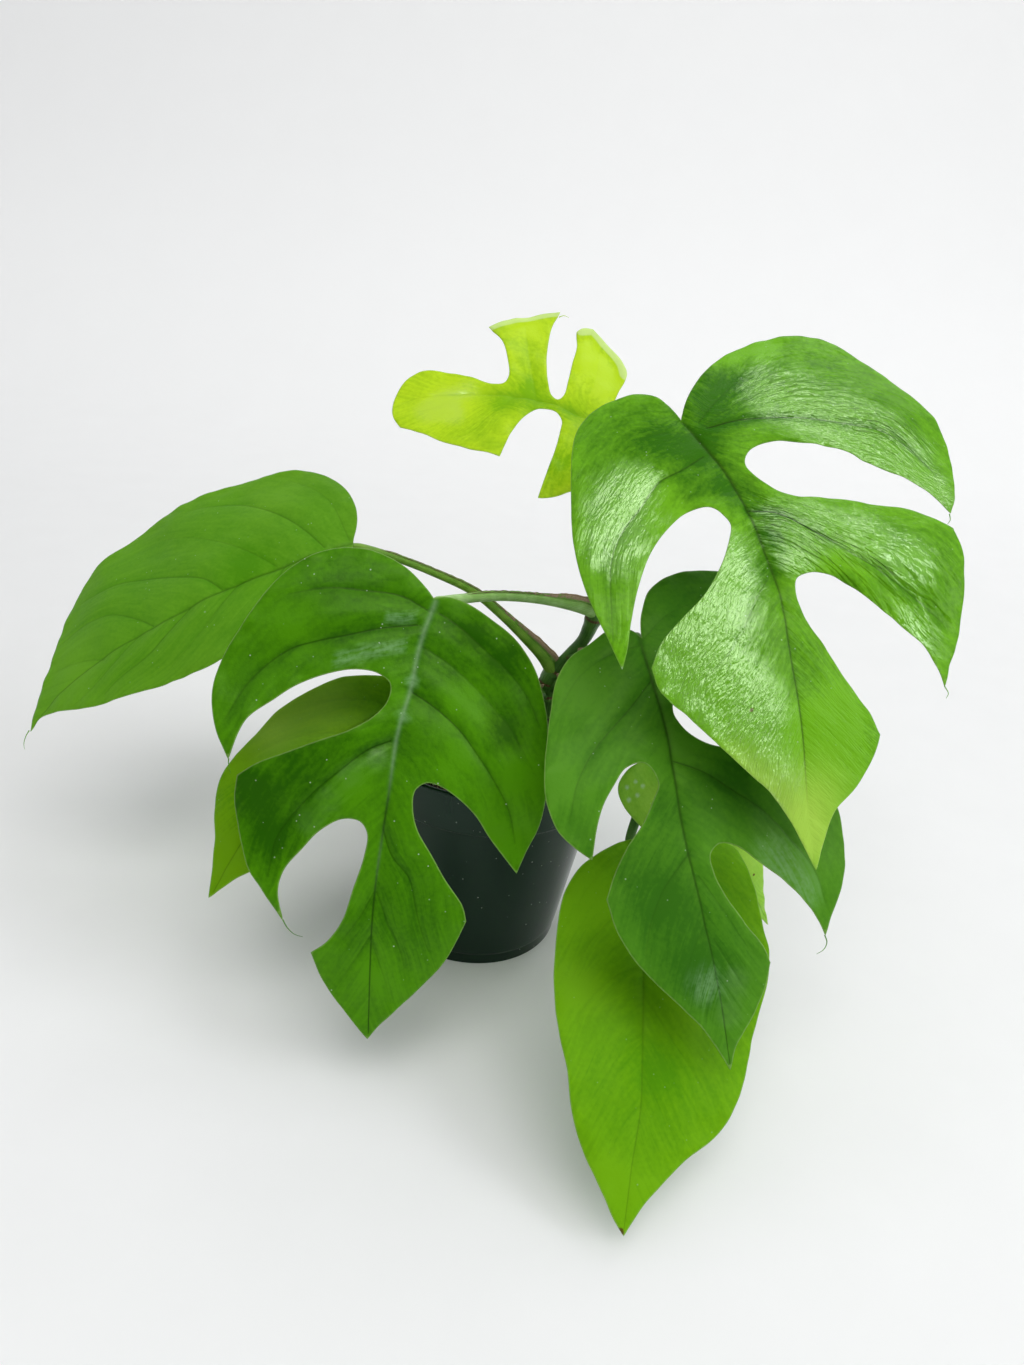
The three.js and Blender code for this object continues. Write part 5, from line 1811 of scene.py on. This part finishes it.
def lump(name, stretch, rough, detail, seed):
    """A stone-like or chip-like lump of about unit size."""
    work = bmesh.new()
    bmesh.ops.create_icosphere(work, subdivisions=detail, radius=1)
    for vert in work.verts:
        spot = vert.co + Vector((seed * 3.1, seed * 1.7, seed * 5.3))
        swell = 1 + rough * noise.noise(spot * 1.1) + 0.5 * rough * noise.noise(spot * 2.7)
        vert.co = Vector(v * s for v, s in zip(vert.co * swell, stretch))
    mesh = bpy.data.meshes.new(name)
    work.to_mesh(mesh)
    work.free()
    return bpy.data.objects.new(name, mesh)


def fibre(name, seed):
    """A bent thread of root or coir, as a thin closed tube."""
    rng = np.random.default_rng(seed)
    turn = np.cumsum(rng.normal(0, 0.35, 8))
    steps = np.stack([np.cos(turn), np.sin(turn), rng.normal(0, 0.12, 8)], axis=1) * 0.5
    path = smooth_line(np.vstack([(0, 0, 0), np.cumsum(steps, axis=0)]), 0.3)
    line = np.hstack([path - path.mean(0), np.full((len(path), 1), 0.05)])
    made = swept(name, line / MM, SWEEP_LEAST_TWIST, THREAD, None)
    bpy.context.scene.collection.objects.unlink(made)
    return made


def scatter_recipe():
    """Strews instances of a collection over a surface, turned and sized at random."""
    numbers = {key: "Float" for key in ("Gap", "Density", "Small", "Large")}
    recipe = Recipe("scatter", Kinds="Collection", **numbers, Seed="Int")
    inputs = {
        "Mesh": recipe.given("Geometry"), "Distance Min": recipe.given("Gap"),
        "Density Max": recipe.given("Density"), "Seed": recipe.given("Seed"),
    }
    points = recipe.step("GeometryNodeDistributePointsOnFaces", {"distribute_method": "POISSON"}, inputs)
    inputs = {0: recipe.given("Kinds"), "Separate Children": True, "Reset Children": True}
    kinds = recipe.step("GeometryNodeCollectionInfo", {}, inputs)
    spin = {0: (0, 0, 0), 1: (6.28, 6.28, 6.28), "Seed": recipe.given("Seed")}
    turned_by = recipe.step("FunctionNodeRandomValue", {"data_type": "FLOAT_VECTOR"}, spin)
    sizes = {2: recipe.given("Small"), 3: recipe.given("Large"), "Seed": recipe.given("Seed")}
    scale = recipe.step("FunctionNodeRandomValue", {"data_type": "FLOAT"}, sizes, 1)
    inputs = {"Points": points, "Instance": kinds, "Pick Instance": True}
    inputs |= {"Rotation": turned_by, "Scale": scale}
    return recipe.end(recipe.step("GeometryNodeInstanceOnPoints", {}, inputs))


def bed_patch(name):
    """The open top of the bed as a sheet, for strewing grains on."""
    ticks = np.arange(-46, 46.1, PATCH_STEP)
    index = {}
    points = []
    for i, x in enumerate(ticks):
        for j, y in enumerate(ticks):
            if math.hypot(x, y) < 46.5 and (Vector((x, y)) - STEM_FOOT).length > 4.5:
                index[i, j] = len(points)
                points.append(Vector((x, y, mix_height(x, y))) * MM)
    faces = []
    for i, j in index:
        corners = [(i, j), (i + 1, j), (i + 1, j + 1), (i, j + 1)]
        if all(corner in index for corner in corners):
            faces.append([index[corner] for corner in corners])
    return new_object(name, points, faces)


def kinds_of(name, makers):
    """A collection of variants that isn't shown itself."""
    group = bpy.data.collections.new(name)
    for made in makers:
        group.objects.link(made)
    return group


def grain_finish(name, dark, light, roughness, bump):
    """One kind of grain, each patch of it a little lighter or darker."""
    finish = Finish(name, Specular_IOR_Level=0.3)
    place = finish.place()
    broad = finish.cloud(place, 4, 2)
    fine = finish.cloud(place, 0.5, 3)
    colour = finish.mix(dark, light, (broad * 0.6 + fine * 0.4).between(0.35, 0.65))
    return finish.wear(fine * bump, Base_Color=colour, Roughness=roughness)


THREAD = ring_section("thread_section", 0)
SCATTER = scatter_recipe()
seeds = range(GRAIN_KINDS)
crumbs = kinds_of("crumb_kinds", [lump(f"crumb_{i}", (1, 0.8, 0.7), 0.5, 2, i) for i in seeds])
chips = kinds_of("chip_kinds", [lump(f"chip_{i}", (1.5, 0.9, 0.35), 0.45, 3, i + 9) for i in seeds])
pearls = kinds_of("pearl_kinds", [lump(f"pearl_{i}", (1, 0.9, 0.8), 0.35, 3, i + 20) for i in seeds])
fibres = kinds_of("fibre_kinds", [fibre(f"fibre_{i}", i + 3) for i in seeds])
STREWN = [
    ("soil_crumbs", crumbs, 1.0, 400000, 0.35, 0.95, 3, "potting_mix",
     grain_finish("crumb", (0.014, 0.009, 0.006), (0.07, 0.045, 0.028), 0.95, 0.3)),
    ("bark_chips", chips, 5.0, 40000, 1.4, 3.2, 5, "bark",
     grain_finish("bark", (0.05, 0.026, 0.014), (0.17, 0.095, 0.052), 0.85, 0.3)),
    ("perlite_grains", pearls, 4.5, 50000, 0.7, 1.6, 7, "perlite",
     grain_finish("perlite", (0.62, 0.60, 0.56), (0.82, 0.81, 0.78), 0.85, 0.25)),
    ("coir_fibres", fibres, 6.0, 30000, 2.0, 4.0, 11, "bark",
     grain_finish("fibre", (0.10, 0.055, 0.03), (0.24, 0.15, 0.08), 0.8, 0.1)),
]
for name, kinds, gap, density, small, large, seed, slot, material in STREWN:
    patch = bed_patch(name)
    values = {"Kinds": kinds, "Gap": gap * MM, "Density": float(density), "Seed": seed}
    grains = SCATTER.run(patch, Small=small * MM, Large=large * MM, Material=material, **values)
    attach(grains, "root")
    print(name, "faces:", len(grains.data.polygons))
for helper in (ROUND, GROOVED, WINGS, THREAD):
    bpy.data.objects.remove(helper)
